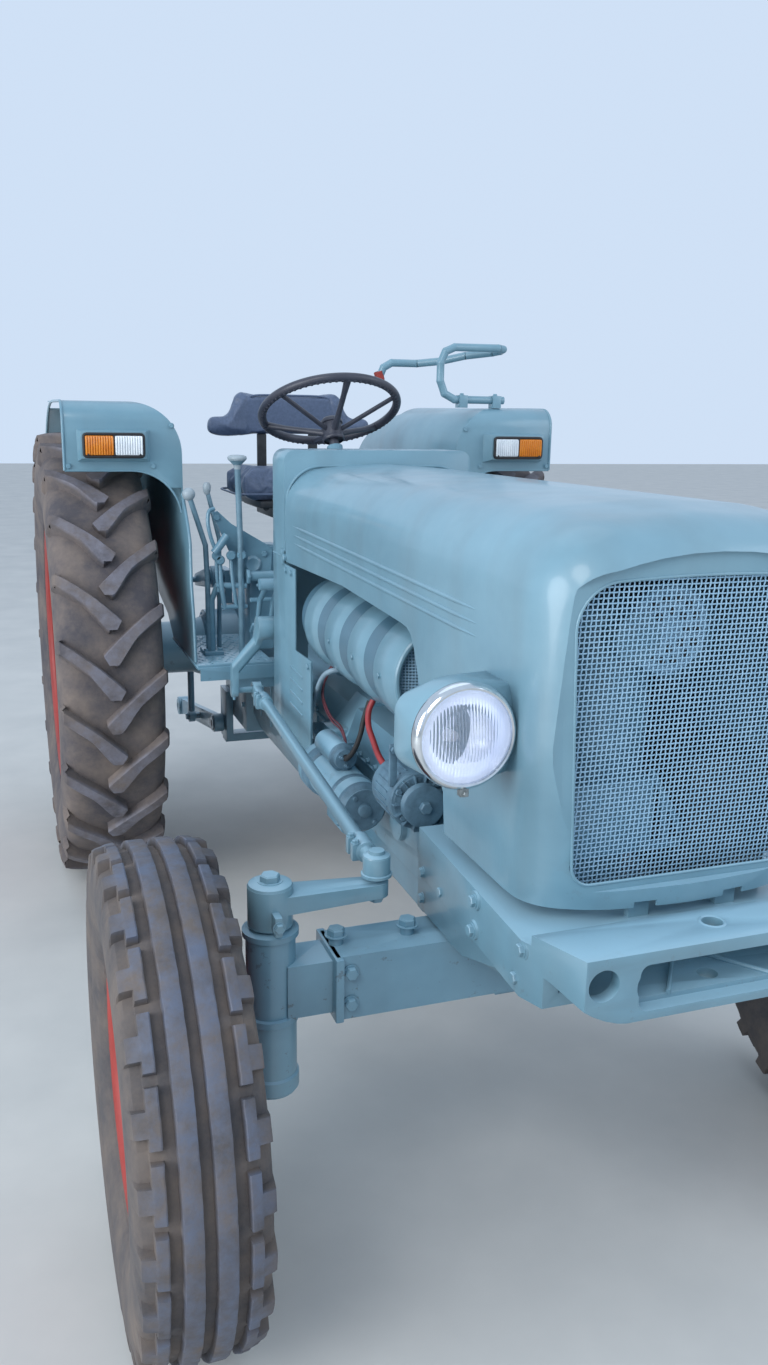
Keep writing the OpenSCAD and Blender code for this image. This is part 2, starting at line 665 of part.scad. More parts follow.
// A 2D outline in a plane across the nose, y behind its tip at the hood's lower edge and leaning forwards,
// from depth a to depth b
module nose_slab(y, lean, a, b) translate([0, y - nose_y, hood_bottom_z]) rotate([lean, 0, 0])
    translate([0, b, -hood_bottom_z]) rotate([90, 0, 0]) linear_extrude(b - a) children();

// The hood's form with the flat frame sunk into its nose
module nose_form(in) difference() {
    hood_form(in);
    nose_slab(bezel_y, bezel_lean, -60, in) bezel_outline(-in);
}

bead_z = [1277, 1255, 1234];
bead_y0 = -153;
bead_y1 = 1029;
bead_h = 10;
bead_out = 2.5;

module hood_beads() intersection() {
    hood_form(-bead_out);
    for (s = [-1, 1], z = bead_z) on_side(s) translate([0, bead_y0, z - bead_h / 2]) rotate([0.65, 0, 0])
        linear_extrude(bead_h) polygon([[hood_half_w - 3, 0], [hood_half_w - 12.5, bead_y1 - bead_y0],
            [hood_half_w + 10, bead_y1 - bead_y0], [hood_half_w + 10, 0]]);
}

module hood() color(paint) at_front() difference() {
    union() {
        difference() {
            nose_form(0);
            nose_form(sheet);
        }
        intersection() {
            nose_form(sheet - over);
            union() {
                nose_slab(mesh_y, mesh_lean, -60, -0.3) grille_outline(-sheet);
                for (s = [-1, 1], x = [-40, 20]) translate([s * hinge_x + x, hinge_y, hinge_z])
                    block([0, -20, 0], [20, 3, 26]);
            }
        }
        hood_beads();
        translate([0, hinge_y, hinge_z]) for (s = [-1, 1]) {
            rod_x(s * hinge_x - 40, s * hinge_x + 40, hinge_pin_r);
            for (x = [-40, 20]) rod_x(s * hinge_x + x, s * hinge_x + x + 20, hinge_r);
        }
    }
    nose_slab(mesh_y, mesh_lean, -90, 90) grille_outline(0);
    slab_x(-400, 400, concat([[-14, 700]], side_edge, [[hood_rear_y + 10, 700]]));
    for (s = [-1, 1]) block([s * hinge_x - 19.5, -nose_y - over, hood_bottom_z - 2 * over],
        [s * hinge_x + 19.5, hinge_y - hinge_pin_r - 0.2, hood_bottom_z + 22]);
}

mesh_pitch = 30;
wire = 3;

module grille() color(paint) at_front() nose_slab(mesh_y, mesh_lean, 0, mesh_t) {
    difference() {
        grille_outline(-3);
        grille_outline(9);
    }
    intersection() {
        grille_outline(6);
        union() {
            for (i = [-7:7]) translate([i * mesh_pitch - wire / 2, grille_z0]) square([wire, grille_z1 - grille_z0]);
            for (k = [0:15]) translate([-grille_half_w, grille_z0 + 12 + k * mesh_pitch])
                square([2 * grille_half_w, wire]);
        }
    }
}

lamp_x = 357;
lamp_y = -306;
lamp_z = 1120;

module headlamps() color(paint) at_front() for (s = [-1, 1]) on_side(s) difference() {
    hull() {
        translate([lamp_x, lamp_y, lamp_z]) rotate([-90, 0, 0]) cylinder(h = 55, r = lamp_r, $fn = 32);
        for (z = [-34, 20]) translate([lamp_x + 45, lamp_y + 80, lamp_z + z]) rotate([-90, 0, 0])
            cylinder(h = 15, r = 34, $fn = 32);
        block([hood_half_w - 25, lamp_y + 40, lamp_z - 72], [hood_half_w - 10, lamp_y + 132, lamp_z + 64]);
    }
    hood_form(-0.3);
    translate([lamp_x, lamp_y - over, lamp_z]) rotate([-90, 0, 0]) cylinder(h = 31, r = lamp_r - 6, $fn = 32);
}

module headlamp_glass() color(glass) at_front() for (s = [-1, 1]) on_side(s)
    translate([lamp_x, lamp_y - 2, lamp_z]) rotate([-90, 0, 0]) cylinder(h = 20, r = lamp_r - 6.5);

// Steering linkage

ball_z = 790;
link_tube_r = 15;
ball_stud_r = 9;
ball_joint_r = 14;
eye_bore_r = 12.6;

module knuckle() at_front() translate([kingpin_x, 0, 0]) {
    translate([0, 0, 410]) cylinder(h = 360, r = kingpin_r);
    translate([0, 0, 390]) cylinder(h = housing_z0 - 390.6, r = 46);
    translate([0, 0, front_r]) rod_x(40, front_half_track - kingpin_x + 10, 26);
    translate([0, 0, housing_z1 + 6]) cylinder(h = 72, r = 40);
    hull() {
        translate([0, 0, 735]) cylinder(h = 34, r = 34, $fn = 32);
        translate([-knuckle_arm, 0, 738]) cylinder(h = 26, r = 22, $fn = 32);
    }
    translate([-knuckle_arm, 0, 760]) cylinder(h = ball_z - 760, r = ball_stud_r);
    translate([-knuckle_arm, 0, ball_z]) sphere(r = ball_joint_r);
}

module knuckle_right() color(paint) on_side(-1) knuckle();
module knuckle_left() color(paint) on_side(1) knuckle();

drop_ball_z = drop_z - drop_arm;

module drag_link() at_front() {
    front = [kingpin_x - knuckle_arm, 0, ball_z];
    rear = [link_rear_x, drop_y, drop_ball_z];
    run = rear - front;
    length = norm(run);
    translate(front) {
        difference() {
            translate([0, 0, -16]) cylinder(h = 38, r = 25);
            sphere(r = ball_joint_r + gap);
            translate([0, 0, -17]) cylinder(h = 12, r1 = ball_stud_r + 5, r2 = ball_stud_r + 3);
        }
        rotate([0, 0, atan2(-run[0], run[1])]) rotate([asin(run[2] / length), 0, 0]) rod_y(20, length - 18, link_tube_r);
    }
    translate(rear) difference() {
        rod_x(-12, 12, 22);
        rod_x(-13, 13, eye_bore_r);
    }
}

module drag_link_right() color(paint) on_side(-1) drag_link();
module drag_link_left() color(paint) on_side(1) drag_link();

module drop_arm_part() at_front() translate([0, drop_y, 0]) {
    pin_x = link_rear_x + stud_gap;
    translate([0, 0, drop_z]) rod_x(drop_boss_x, drop_boss_x + 48, 34);
    hull() {
        translate([0, 0, drop_z]) rod_x(288, 304, 30, $fn = 32);
        translate([0, 14, drop_z - 46]) rod_x(296, 312, 19, $fn = 32);
    }
    hull() {
        translate([0, 14, drop_z - 46]) rod_x(296, 312, 19, $fn = 32);
        translate([0, 8, drop_ball_z + 62]) rod_x(pin_x - 12, pin_x + 6, 16, $fn = 32);
    }
    hull() {
        translate([0, 8, drop_ball_z + 62]) rod_x(pin_x - 12, pin_x + 6, 16, $fn = 32);
        translate([0, 0, drop_ball_z]) rod_x(pin_x - 9, pin_x + 9, 18, $fn = 32);
    }
    translate([0, 0, drop_ball_z]) rod_x(link_rear_x - 20, pin_x, ball_stud_r);
}

module drop_arm_right() color(paint) on_side(-1) drop_arm_part();
module drop_arm_left() color(paint) on_side(1) drop_arm_part();

module steering_wheel() color(brown) at_front() translate([0, drop_y, drop_z]) rotate([-column_tilt, 0, 0])
    translate([0, 0, column_len]) {
        rotate_extrude() translate([wheel_rim_r - 13, 0]) circle(r = 13);
        translate([0, 0, -95]) cylinder(h = 50, r = 30);
        translate([0, 0, -119]) cylinder(h = 25, r = 14);
        for (a = [90, 210, 330]) rotate([0, 0, a])
            translate([20, 0, -70]) rotate([0, 70, 0]) cylinder(h = wheel_rim_r - 25, r = 7);
    }

// Wheels

front_rim_w = 76;
rear_rim_w = 130;

module front_rim() {
    translate([front_half_track, 0, 0]) rotate([0, 90, 0]) rotate_extrude() {
        w = front_rim_w;
        polygon([[front_rim_r - 8, -w], [front_rim_r + 14, -w], [front_rim_r + 14, -w + 6], [front_rim_r, -w + 10],
            [front_rim_r, -w + 30], [front_rim_r - 24, -w + 50], [front_rim_r - 24, w - 50], [front_rim_r, w - 30],
            [front_rim_r, w - 10], [front_rim_r + 14, w - 6], [front_rim_r + 14, w], [front_rim_r - 8, w],
            [front_rim_r - 8, w - 28], [front_rim_r - 32, w - 48], [front_rim_r - 32, -w + 48], [front_rim_r - 8, -w + 28]]);
        polygon([[62, 12], [100, 12], [150, -12], [front_rim_r - 31, -12], [front_rim_r - 31, -4], [152, -4], [104, 20], [62, 20]]);
    }
    difference() {
        rod_x(kingpin_x + 62, front_half_track + 40, 63);
        rod_x(kingpin_x + 61, front_half_track + 12, 26.5);
    }
}

groove_d = 14;
groove_mid = 9;
rib_out = 37;
shoulder_in = 57;
shoulder_out = 76;
tyre_pitch = 360 / front_blocks;

module front_tyre() translate([front_half_track, 0, 0]) rotate([0, 90, 0]) difference() {
    h = front_tyre_w / 2;
    floor_r = front_r - groove_d;
    side = [[front_rim_r + 0.4, 10.5 - front_rim_w], [front_rim_r + 14.4, 6.5 - front_rim_w],
        [front_rim_r + 14.8, -front_rim_w - 3], [front_rim_r + 70, -h + 4], [front_r - 90, -h], [front_r - 50, -h + 5],
        [front_r - 16, -h + 14], [front_r - 5, -h + 24], [front_r - 2, -shoulder_in], [floor_r, -shoulder_in + 2],
        [floor_r, -rib_out - 3], [front_r, -rib_out], [front_r, -groove_mid - 3], [floor_r, -groove_mid]];
    rotate_extrude() polygon(concat(side, [for (i = [len(side) - 1:-1:0]) [side[i][0], -side[i][1]]]));
    for (s = [-1, 1], i = [0:front_blocks - 1]) mirror([0, 0, s < 0 ? 1 : 0])
        rotate([0, 0, (i + (s > 0 ? 0.5 : 0)) * tyre_pitch]) {
            rotate([0, 0, tyre_pitch * 0.18]) translate([floor_r, 0, shoulder_out])
                linear_extrude(h) square([60, 0.64 * PI * 2 * front_r / front_blocks]);
            rotate([0, 0, tyre_pitch * 0.35]) translate([floor_r, 0, shoulder_in - 1])
                linear_extrude(h) square([60, 0.15 * PI * 2 * front_r / front_blocks]);
        }
}

module at_front_wheel(s) on_side(s) at_front() translate([0, 0, front_r]) children();

module front_rim_right() color(red) at_front_wheel(-1) front_rim();
module front_rim_left() color(red) at_front_wheel(1) front_rim();
module front_tyre_right() color(rubber) at_front_wheel(-1) front_tyre();
module front_tyre_left() color(rubber) at_front_wheel(1) front_tyre();

module rear_rim() {
    translate([rear_half_track, 0, 0]) rotate([0, 90, 0]) rotate_extrude() {
        w = rear_rim_w;
        polygon([[rear_rim_r - 10, -w], [rear_rim_r + 20, -w], [rear_rim_r + 20, -w + 8], [rear_rim_r, -w + 14],
            [rear_rim_r, -w + 50], [rear_rim_r - 34, -w + 80], [rear_rim_r - 34, w - 80], [rear_rim_r, w - 50],
            [rear_rim_r, w - 14], [rear_rim_r + 20, w - 8], [rear_rim_r + 20, w], [rear_rim_r - 10, w],
            [rear_rim_r - 10, w - 46], [rear_rim_r - 44, w - 76], [rear_rim_r - 44, -w + 76], [rear_rim_r - 10, -w + 46]]);
        polygon([[40, -140], [150, -140], [260, -60], [380, -60], [rear_rim_r - 43, -30], [rear_rim_r - 43, -20],
            [376, -50], [258, -50], [148, -130], [40, -130]]);
    }
    rod_x(hub_x, rear_half_track - 131, 100);
}

lug_start = 73.5;

// A lug from its tip by the middle of the tread to the shoulder
module rear_lug() linear_extrude(lug_h + 30) polygon([[8, -1], [34, 29], [70, 78], [104, 107], [151, 141], [151, 179],
    [84, 130], [38, 91], [-28, 27], [-14, 3]]);

module rear_tyre() translate([rear_half_track, 0, 0]) {
    h = rear_tyre_w / 2;
    base = rear_r - lug_h;
    rotate([0, 90, 0]) rotate_extrude() polygon([[rear_rim_r + 0.4, 14.5 - rear_rim_w],
        [rear_rim_r + 20.4, 8.5 - rear_rim_w], [rear_rim_r + 20.8, -rear_rim_w - 3], [560, -h + 6],
        [600, -h], [650, -h + 4], [690, -h + 14], [base - 12, -h + 34], [base - 4, -90], [base, 0], [base - 4, 90],
        [base - 12, h - 34], [690, h - 14], [650, h - 4], [600, h], [560, h - 6],
        [rear_rim_r + 20.8, rear_rim_w + 3], [rear_rim_r + 20.4, rear_rim_w - 8.5],
        [rear_rim_r + 0.4, rear_rim_w - 14.5]]);
    intersection() {
        rotate([0, 90, 0]) rotate_extrude() polygon([[600, -h - 6], [680, -h - 4], [rear_r - 14, -h + 14],
            [rear_r - 3, -90], [rear_r, 0], [rear_r - 3, 90], [rear_r - 14, h - 14], [680, h + 4], [600, h + 6]]);
        for (s = [-1, 1], i = [0:rear_lugs - 1])
            rotate([lug_start + (i + (s > 0 ? 0 : 0.5)) * 360 / rear_lugs, 0, 0]) translate([0, 0, base - 30])
                mirror([s < 0 ? 1 : 0, 0, 0]) rear_lug();
    }
}

module at_rear_wheel(s) on_side(s) at_rear() translate([0, 0, rear_r]) children();

module rear_rim_right() color(red) at_rear_wheel(-1) rear_rim();
module rear_rim_left() color(red) at_rear_wheel(1) rear_rim();
module rear_tyre_right() color(rubber) at_rear_wheel(-1) rear_tyre();
module rear_tyre_left() color(rubber) at_rear_wheel(1) rear_tyre();

// Three-point linkage

link_front_x = 240;
arm_x = 240;

module lift_arms() color(paint_dark) at_rear() translate([0, pivot_y, lift_z]) {
    rod_x(-260, 260, 30);
    rotate([-droop, 0, 0]) for (s = [-1, 1]) on_side(s) {
        hull() {
            rod_x(arm_x - 16, arm_x + 16, 40, $fn = 32);
            translate([0, lift_r, 0]) rod_x(arm_x - 16, arm_x + 16, 24, $fn = 32);
        }
        translate([0, lift_r, 0]) rod_x(arm_x + 15, arm_x + 62, 11);
    }
}

module lower_link_part() at_rear() translate([0, pivot_y, link_z]) rotate([-droop, 0, 0]) difference() {
    union() {
        rod_x(link_front_x - 18, link_front_x + 18, 34);
        block([link_front_x - 12, 20, -32], [link_front_x + 12, lower_link - 30, 32]);
        translate([0, lower_link, 0]) rod_x(link_front_x - 22, link_front_x + 22, ball_r);
        translate([0, lift_r, 0]) rod_x(link_front_x + 11, link_front_x + 62, 11);
    }
    rod_x(link_front_x - 30, link_front_x + 30, 14.5);
    translate([0, lower_link, 0]) rod_x(link_front_x - 30, link_front_x + 30, 14.5);
}

module lower_link_right() color(paint_dark) on_side(-1) lower_link_part();
module lower_link_left() color(paint_dark) on_side(1) lower_link_part();

module lift_rod_part() at_rear() translate([arm_x + 44, pivot_y + lift_r * cos(droop), link_z - lift_r * sin(droop)]) {
    height = lift_z - link_z;
    difference() {
        union() {
            rod_x(-12, 12, 24);
            translate([0, 0, height]) rod_x(-12, 12, 24);
            translate([0, 0, 16]) cylinder(h = height - 32, r = 13);
            translate([0, 0, height * 0.4]) cylinder(h = height * 0.3, r = 19);
        }
        rod_x(-13, 13, 11 + gap);
        translate([0, 0, height]) rod_x(-13, 13, 11 + gap);
    }
}

module lift_rod_right() color(paint_dark) on_side(-1) lift_rod_part();
module lift_rod_left() color(paint_dark) on_side(1) lift_rod_part();

bolster();
front_axle();
engine_block();
cylinders();
fan_casing();
starter();
alternator();
exhaust();
air_cleaner();
battery();
gearbox();
rear_axle();
cowl();
steering_column();
footplates();
fender_right();
fender_left();
fender_lamps();
grab_rail();
seat();
seat_base();
levers();
pedals();
drawbar();
hood();
grille();
headlamps();
headlamp_glass();
knuckle_right();
knuckle_left();
drag_link_right();
drag_link_left();
drop_arm_right();
drop_arm_left();
steering_wheel();
front_rim_right();
front_tyre_right();
front_rim_left();
front_tyre_left();
rear_rim_right();
rear_tyre_right();
rear_rim_left();
rear_tyre_left();
lift_arms();
lower_link_right();
lower_link_left();
lift_rod_right();
lift_rod_left();
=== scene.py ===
"""Looks of the vintage farm tractor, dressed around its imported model. +Z up, the front faces -Y.

Shapes are written in millimetres: a tuple is a place that front() or rear() reads, a Vector is in metres.
"""

import json
import math
import random
from contextlib import contextmanager

import bmesh
import bpy
from mathutils import Matrix, Vector, noise
from mathutils.bvhtree import BVHTree

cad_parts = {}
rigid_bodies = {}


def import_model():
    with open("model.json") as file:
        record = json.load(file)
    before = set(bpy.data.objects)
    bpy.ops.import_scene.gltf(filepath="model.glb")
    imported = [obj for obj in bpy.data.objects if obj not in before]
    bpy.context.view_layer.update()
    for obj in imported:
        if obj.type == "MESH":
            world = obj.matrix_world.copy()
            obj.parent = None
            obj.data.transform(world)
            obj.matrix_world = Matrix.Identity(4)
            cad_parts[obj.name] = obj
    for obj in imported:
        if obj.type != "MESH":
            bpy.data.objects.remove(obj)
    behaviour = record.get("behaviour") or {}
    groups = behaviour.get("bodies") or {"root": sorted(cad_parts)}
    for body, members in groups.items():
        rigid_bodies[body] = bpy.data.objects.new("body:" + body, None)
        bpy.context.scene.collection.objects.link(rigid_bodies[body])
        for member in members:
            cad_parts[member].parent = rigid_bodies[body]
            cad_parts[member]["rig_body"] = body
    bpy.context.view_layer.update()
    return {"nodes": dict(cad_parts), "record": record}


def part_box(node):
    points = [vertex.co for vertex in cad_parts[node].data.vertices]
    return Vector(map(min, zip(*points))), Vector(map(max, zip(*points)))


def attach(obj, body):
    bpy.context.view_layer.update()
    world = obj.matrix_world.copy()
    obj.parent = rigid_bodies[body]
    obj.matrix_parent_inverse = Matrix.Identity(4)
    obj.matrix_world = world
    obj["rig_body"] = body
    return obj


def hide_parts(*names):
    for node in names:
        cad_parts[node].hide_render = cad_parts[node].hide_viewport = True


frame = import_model()
scene = bpy.context.scene
random.seed(7)

MM = 0.001
SIDES = ((-1, "right"), (1, "left"))
Y, Z, AHEAD = (0, 1, 0), (0, 0, 1), (0, -1, 0)


def middle_y(node):
    low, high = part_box(node)
    return ((low + high) / 2).y


FRONT_Y = middle_y("front_tyre_right")
REAR_Y = middle_y("rear_tyre_right")


def front(x, y, z):
    """A place given in millimetres from the front axle's middle on the ground."""
    return Vector((x / 1000, FRONT_Y + y / 1000, z / 1000))


def rear(x, y, z):
    """A place given in millimetres from the rear axle's middle on the ground."""
    return Vector((x / 1000, REAR_Y + y / 1000, z / 1000))


def offset(x, y, z):
    return Vector((x, y, z)) * MM


def circle(radius, count, start=0.0):
    """Points evenly round a circle, from start in degrees."""
    angles = [math.radians(start) + 2 * math.pi * k / count for k in range(count)]
    return [(radius * math.cos(a), radius * math.sin(a)) for a in angles]

# Mesh helpers


@contextmanager
def edited(mesh):
    bm = bmesh.new()
    bm.from_mesh(mesh)
    yield bm
    bm.to_mesh(mesh)
    bm.free()


def linked(name, data):
    obj = bpy.data.objects.new(name, data)
    scene.collection.objects.link(obj)
    return obj


def ride(obj, node, replaces=False):
    """Puts a piece on the body of a CAD node, and may hide that node."""
    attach(obj, frame["nodes"][node]["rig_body"])
    if replaces:
        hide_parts(node)


def dress(obj, material):
    obj.data.materials.clear()
    obj.data.materials.append(material)


def add_mesh(name, verts, faces, material, smooth_angle=20):
    """A mesh piece with its normals facing out and its hard edges kept."""
    mesh = bpy.data.meshes.new(name)
    mesh.from_pydata([tuple(v) for v in verts], [], faces)
    with edited(mesh) as bm:
        bmesh.ops.recalc_face_normals(bm, faces=bm.faces)
    obj = linked(name, mesh)
    mesh.materials.append(material)
    shade(obj, smooth_angle)
    return obj


def shade(obj, smooth_angle):
    """Smooth shading that breaks at edges sharper than smooth_angle degrees."""
    limit = math.radians(smooth_angle)
    with edited(obj.data) as bm:
        for face in bm.faces:
            face.smooth = True
        for edge in bm.edges:
            edge.smooth = len(edge.link_faces) == 2 and edge.calc_face_angle(0) < limit


def apply_modifiers(obj):
    depsgraph = bpy.context.evaluated_depsgraph_get()
    mesh = bpy.data.meshes.new_from_object(obj.evaluated_get(depsgraph))
    obj.modifiers.clear()
    obj.data = mesh


def modify(obj, kind, **settings):
    modifier = obj.modifiers.new(kind.lower(), kind)
    for key, value in settings.items():
        setattr(modifier, key, value)
    return modifier


def bevelled(obj, width, smooth_angle):
    modify(obj, "BEVEL", width=width * MM, segments=2, limit_method="ANGLE", angle_limit=math.radians(35))
    apply_modifiers(obj)
    shade(obj, smooth_angle)


def axis_frame(axis):
    """A rotation that takes +Z to axis."""
    return Vector(axis).normalized().to_track_quat("Z", "Y").to_matrix()


def prism(first, second):
    """Verts and faces of the closed form between two outlines with as many points."""
    n = len(first)
    faces = [list(range(n)), list(range(n, 2 * n))[::-1]]
    faces += [[i, n + i, n + (i + 1) % n, (i + 1) % n] for i in range(n)]
    return first + second, faces


def loft_faces(rows, columns, closed=True):
    """Faces of a grid that closes round its columns, and round its rows as well if closed."""
    return [[i * columns + k, (i + 1) % rows * columns + k, (i + 1) % rows * columns + (k + 1) % columns,
        i * columns + (k + 1) % columns] for i in range(rows if closed else rows - 1)
        for k in range(columns)]


class Parts:
    """Gathers many small shapes into one mesh."""

    def __init__(self, place=front):
        self.place = place
        self.verts = []
        self.faces = []

    def at(self, spot):
        return spot if isinstance(spot, Vector) else self.place(*spot)

    def add(self, verts, faces):
        base = len(self.verts)
        self.verts += verts
        self.faces += [[i + base for i in face] for face in faces]

    def lathe(self, spot, axis, profile, segments=32):
        """Revolves (radius, height) points about axis through a spot."""
        spot, turn = self.at(spot), axis_frame(axis)
        verts, faces, rings = [], [], []
        for radius, height in profile:
            count = segments if radius > 1e-3 else 1
            rings.append(range(len(verts), len(verts) + count))
            verts += [spot + turn @ offset(x, y, height) for x, y in circle(radius, count)]
        for a, b in zip(rings, rings[1:]):
            for i in range(segments):
                j = (i + 1) % segments
                face = [a[i % len(a)], a[j % len(a)], b[j % len(b)], b[i % len(b)]]
                faces.append(list(dict.fromkeys(face)))
        self.add(verts, [face for face in faces if len(face) > 2])

    def rod(self, a, b, radius, segments=16, bevel=0):
        a, b = self.at(a), self.at(b)
        length = (b - a).length / MM
        cut = min(bevel, radius / 2, length / 2)
        self.lathe(a, b - a, [(0, 0), (radius - cut, 0), (radius, cut), (radius, length - cut),
            (radius - cut, length), (0, length)], segments)

    def bolt(self, spot, axis, size=9, head=6, washer=1.6):
        """A hexagon head with a chamfered top on a washer."""
        spot = self.at(spot)
        if washer:
            self.lathe(spot, axis, [(0, 0), (size * 1.25, 0), (size * 1.25, washer), (0, washer)], 20)
        top = [(0, 0), (size, 0), (size, head * 0.8), (size * 0.86, head), (0, head)]
        self.lathe(spot + axis_frame(axis) @ offset(0, 0, washer), axis, top, 6)

    def box(self, low, high, bevel=2, turn=None, about=None):
        """A box with chamfered edges, turned by the matrix turn about a point."""
        low, high = self.at(low), self.at(high)
        bm = bmesh.new()
        bmesh.ops.create_cube(bm, size=1)
        for v in bm.verts:
            v.co = Vector(low[i] + (v.co[i] + 0.5) * (high[i] - low[i]) for i in range(3))
        if bevel:
            width = min(bevel * MM, 0.45 * min(high[i] - low[i] for i in range(3)))
            bmesh.ops.bevel(bm, geom=bm.edges[:], offset=width, segments=2, affect="EDGES", profile=0.6)
        verts = [v.co.copy() for v in bm.verts]
        if turn is not None:
            about = about or (low + high) / 2
            verts = [about + turn @ (v - about) for v in verts]
        self.add(verts, [[v.index for v in f.verts] for f in bm.faces])
        bm.free()

    def block(self, spot, half, bevel):
        """A box round a spot, half as wide each way as it says."""
        self.box(spot - offset(*half), spot + offset(*half), bevel)

    def fan(self, spot, axis, count, low, high, bevel):
        """Boxes spread round a spot, turned about one of the letters X, Y and Z."""
        for k in range(count):
            turn = Matrix.Rotation(2 * math.pi * k / count, 3, axis)
            self.box(spot + offset(*low), spot + offset(*high), bevel, turn, spot)

    def tube(self, points, radius, segments=10, closed=False, cap=True):
        """A round tube along points, with its rings kept from twisting. radius may be a list."""
        points = [self.at(p) for p in points]
        count = len(points)
        radii = radius if isinstance(radius, list) else [radius] * count
        side = None
        verts = []
        for i, p in enumerate(points):
            before = points[(i - 1) % count] if closed or i else p
            after = points[(i + 1) % count] if closed or i < count - 1 else p
            along = (after - before).normalized()
            if side is None:
                side = along.orthogonal().normalized()
            side = (side - along * side.dot(along)).normalized()
            up = along.cross(side)
            verts += [p + (a * side + b * up) * MM for a, b in circle(radii[i], segments)]
        faces = loft_faces(count, segments, closed)
        if cap and not closed:
            faces.append(list(range(segments))[::-1])
            faces.append([(count - 1) * segments + k for k in range(segments)])
        self.add(verts, faces)

    def make(self, name, material, node, smooth_angle=30, replaces=False):
        obj = add_mesh(name, self.verts, self.faces, material, smooth_angle)
        if node:
            ride(obj, node, replaces)
        return obj


def smooth_path(points):
    """A Catmull-Rom curve through places read by front()."""
    points = [front(*p) for p in points]
    steps = 6
    points = [2 * points[0] - points[1]] + points + [2 * points[-1] - points[-2]]
    out = []
    for a, b, c, d in zip(points, points[1:], points[2:], points[3:]):
        for k in range(steps):
            t = k / steps
            curve = (2 * a - 5 * b + 4 * c - d) * t**2 + (3 * b - a - 3 * c + d) * t**3
            out.append(0.5 * (2 * b + (c - a) * t + curve))
    return out + [points[-2]]


def cut(obj, tool, operation="DIFFERENCE"):
    modify(obj, "BOOLEAN", operation=operation, solver="MANIFOLD", object=tool)
    apply_modifiers(obj)
    bpy.data.objects.remove(tool)


def cutter(verts, faces):
    """A form that is only there to cut or join another."""
    return add_mesh("cutter", verts, faces, PAINT)


def box_cutter(low, high):
    parts = Parts()
    parts.box(low, high, 0)
    return cutter(parts.verts, parts.faces)


def softened(node, width, shaping=None):
    """The CAD node's own mesh with its hard edges rounded."""
    mesh = frame["nodes"][node].data.copy()
    mesh.name = node + "_soft"
    with edited(mesh) as bm:
        bmesh.ops.remove_doubles(bm, verts=bm.verts, dist=1e-5)
        bmesh.ops.dissolve_limit(bm, angle_limit=math.radians(0.5), verts=bm.verts, edges=bm.edges)
    obj = linked(node + "_soft", mesh)
    if shaping:
        shaping(obj)
    bevelled(obj, width, 40)
    ride(obj, node, True)
    return obj

# Materials


class Shader:
    """Short calls for building one node material."""

    made = {}

    def __init__(self, name, **sockets):
        self.material = self.made[name] = bpy.data.materials.new(name)
        self.material.use_nodes = True
        self.tree = self.material.node_tree
        self.bsdf = self.tree.nodes["Principled BSDF"]
        self.feed(self.bsdf, sockets)
        self.coords = self.node("TexCoord").outputs["Object"]

    def feed(self, node, values):
        """Links or sets each named or numbered socket of a node."""
        for key, value in values.items():
            socket = node.inputs[key.replace("_", " ") if isinstance(key, str) else key]
            if isinstance(value, bpy.types.NodeSocket):
                self.tree.links.new(value, socket)
            else:
                socket.default_value = value

    def node(self, kind, values=None, **settings):
        node = self.tree.nodes.new("ShaderNode" + kind)
        for key, value in settings.items():
            setattr(node, key, value)
        self.feed(node, values or {})
        return node

    def noise(self, scale, detail=4.0, rough=0.55, stretch=(1, 1, 1)):
        mapping = self.node("Mapping", {"Scale": stretch, "Vector": self.coords}).outputs["Vector"]
        values = {"Scale": scale, "Detail": detail, "Roughness": rough, "Vector": mapping}
        return self.node("TexNoise", values).outputs["Fac"]

    def ramp(self, factor, *stops):
        node = self.node("ValToRGB", {"Fac": factor})
        for element, (position, colour) in zip(node.color_ramp.elements, stops):
            element.position = position
            element.color = rgba(colour)
        return node.outputs["Color"]

    def mix(self, factor, a, b):
        a, b = (value if isinstance(value, bpy.types.NodeSocket) else rgba(value) for value in (a, b))
        return self.node("Mix", {0: factor, 6: a, 7: b}, data_type="RGBA").outputs[2]

    def math(self, operation, a, b, clamp=False):
        return self.node("Math", {0: a, 1: b}, operation=operation, use_clamp=clamp).outputs[0]

    def times(self, a, b):
        return self.math("MULTIPLY", a, b)

    def axis(self, vector, letter):
        return self.node("SeparateXYZ", {0: vector}).outputs[letter]

    def span(self, value, low, high):
        """0 below low and 1 above high."""
        return self.node("MapRange", {"From_Min": low, "From_Max": high, "Value": value}).outputs[0]

    def above(self, low, high):
        return self.span(self.axis(self.coords, "Z"), low, high)

    def upward(self):
        """0 on walls and 1 where the surface faces up."""
        return self.span(self.axis(self.node("NewGeometry").outputs["Normal"], "Z"), 0.3, 0.95)

    def finish(self, colour, rough):
        self.feed(self.bsdf, {"Base Color": colour, "Roughness": rough})

    def bump(self, factor, distance, strength):
        node = self.node("Bump", {"Distance": distance, "Strength": strength, "Height": factor})
        normal = self.bsdf.inputs["Normal"]
        if normal.links:
            self.tree.links.new(normal.links[0].from_socket, node.inputs["Normal"])
        self.tree.links.new(node.outputs["Normal"], normal)


def rgba(colour):
    """A linear colour from a hex name such as #7fa8b4."""
    values = [int(colour[i : i + 2], 16) / 255 for i in (1, 3, 5)]
    linear = [v / 12.92 if v <= 0.04045 else ((v + 0.055) / 1.055) ** 2.4 for v in values]
    return (*linear, 1.0)


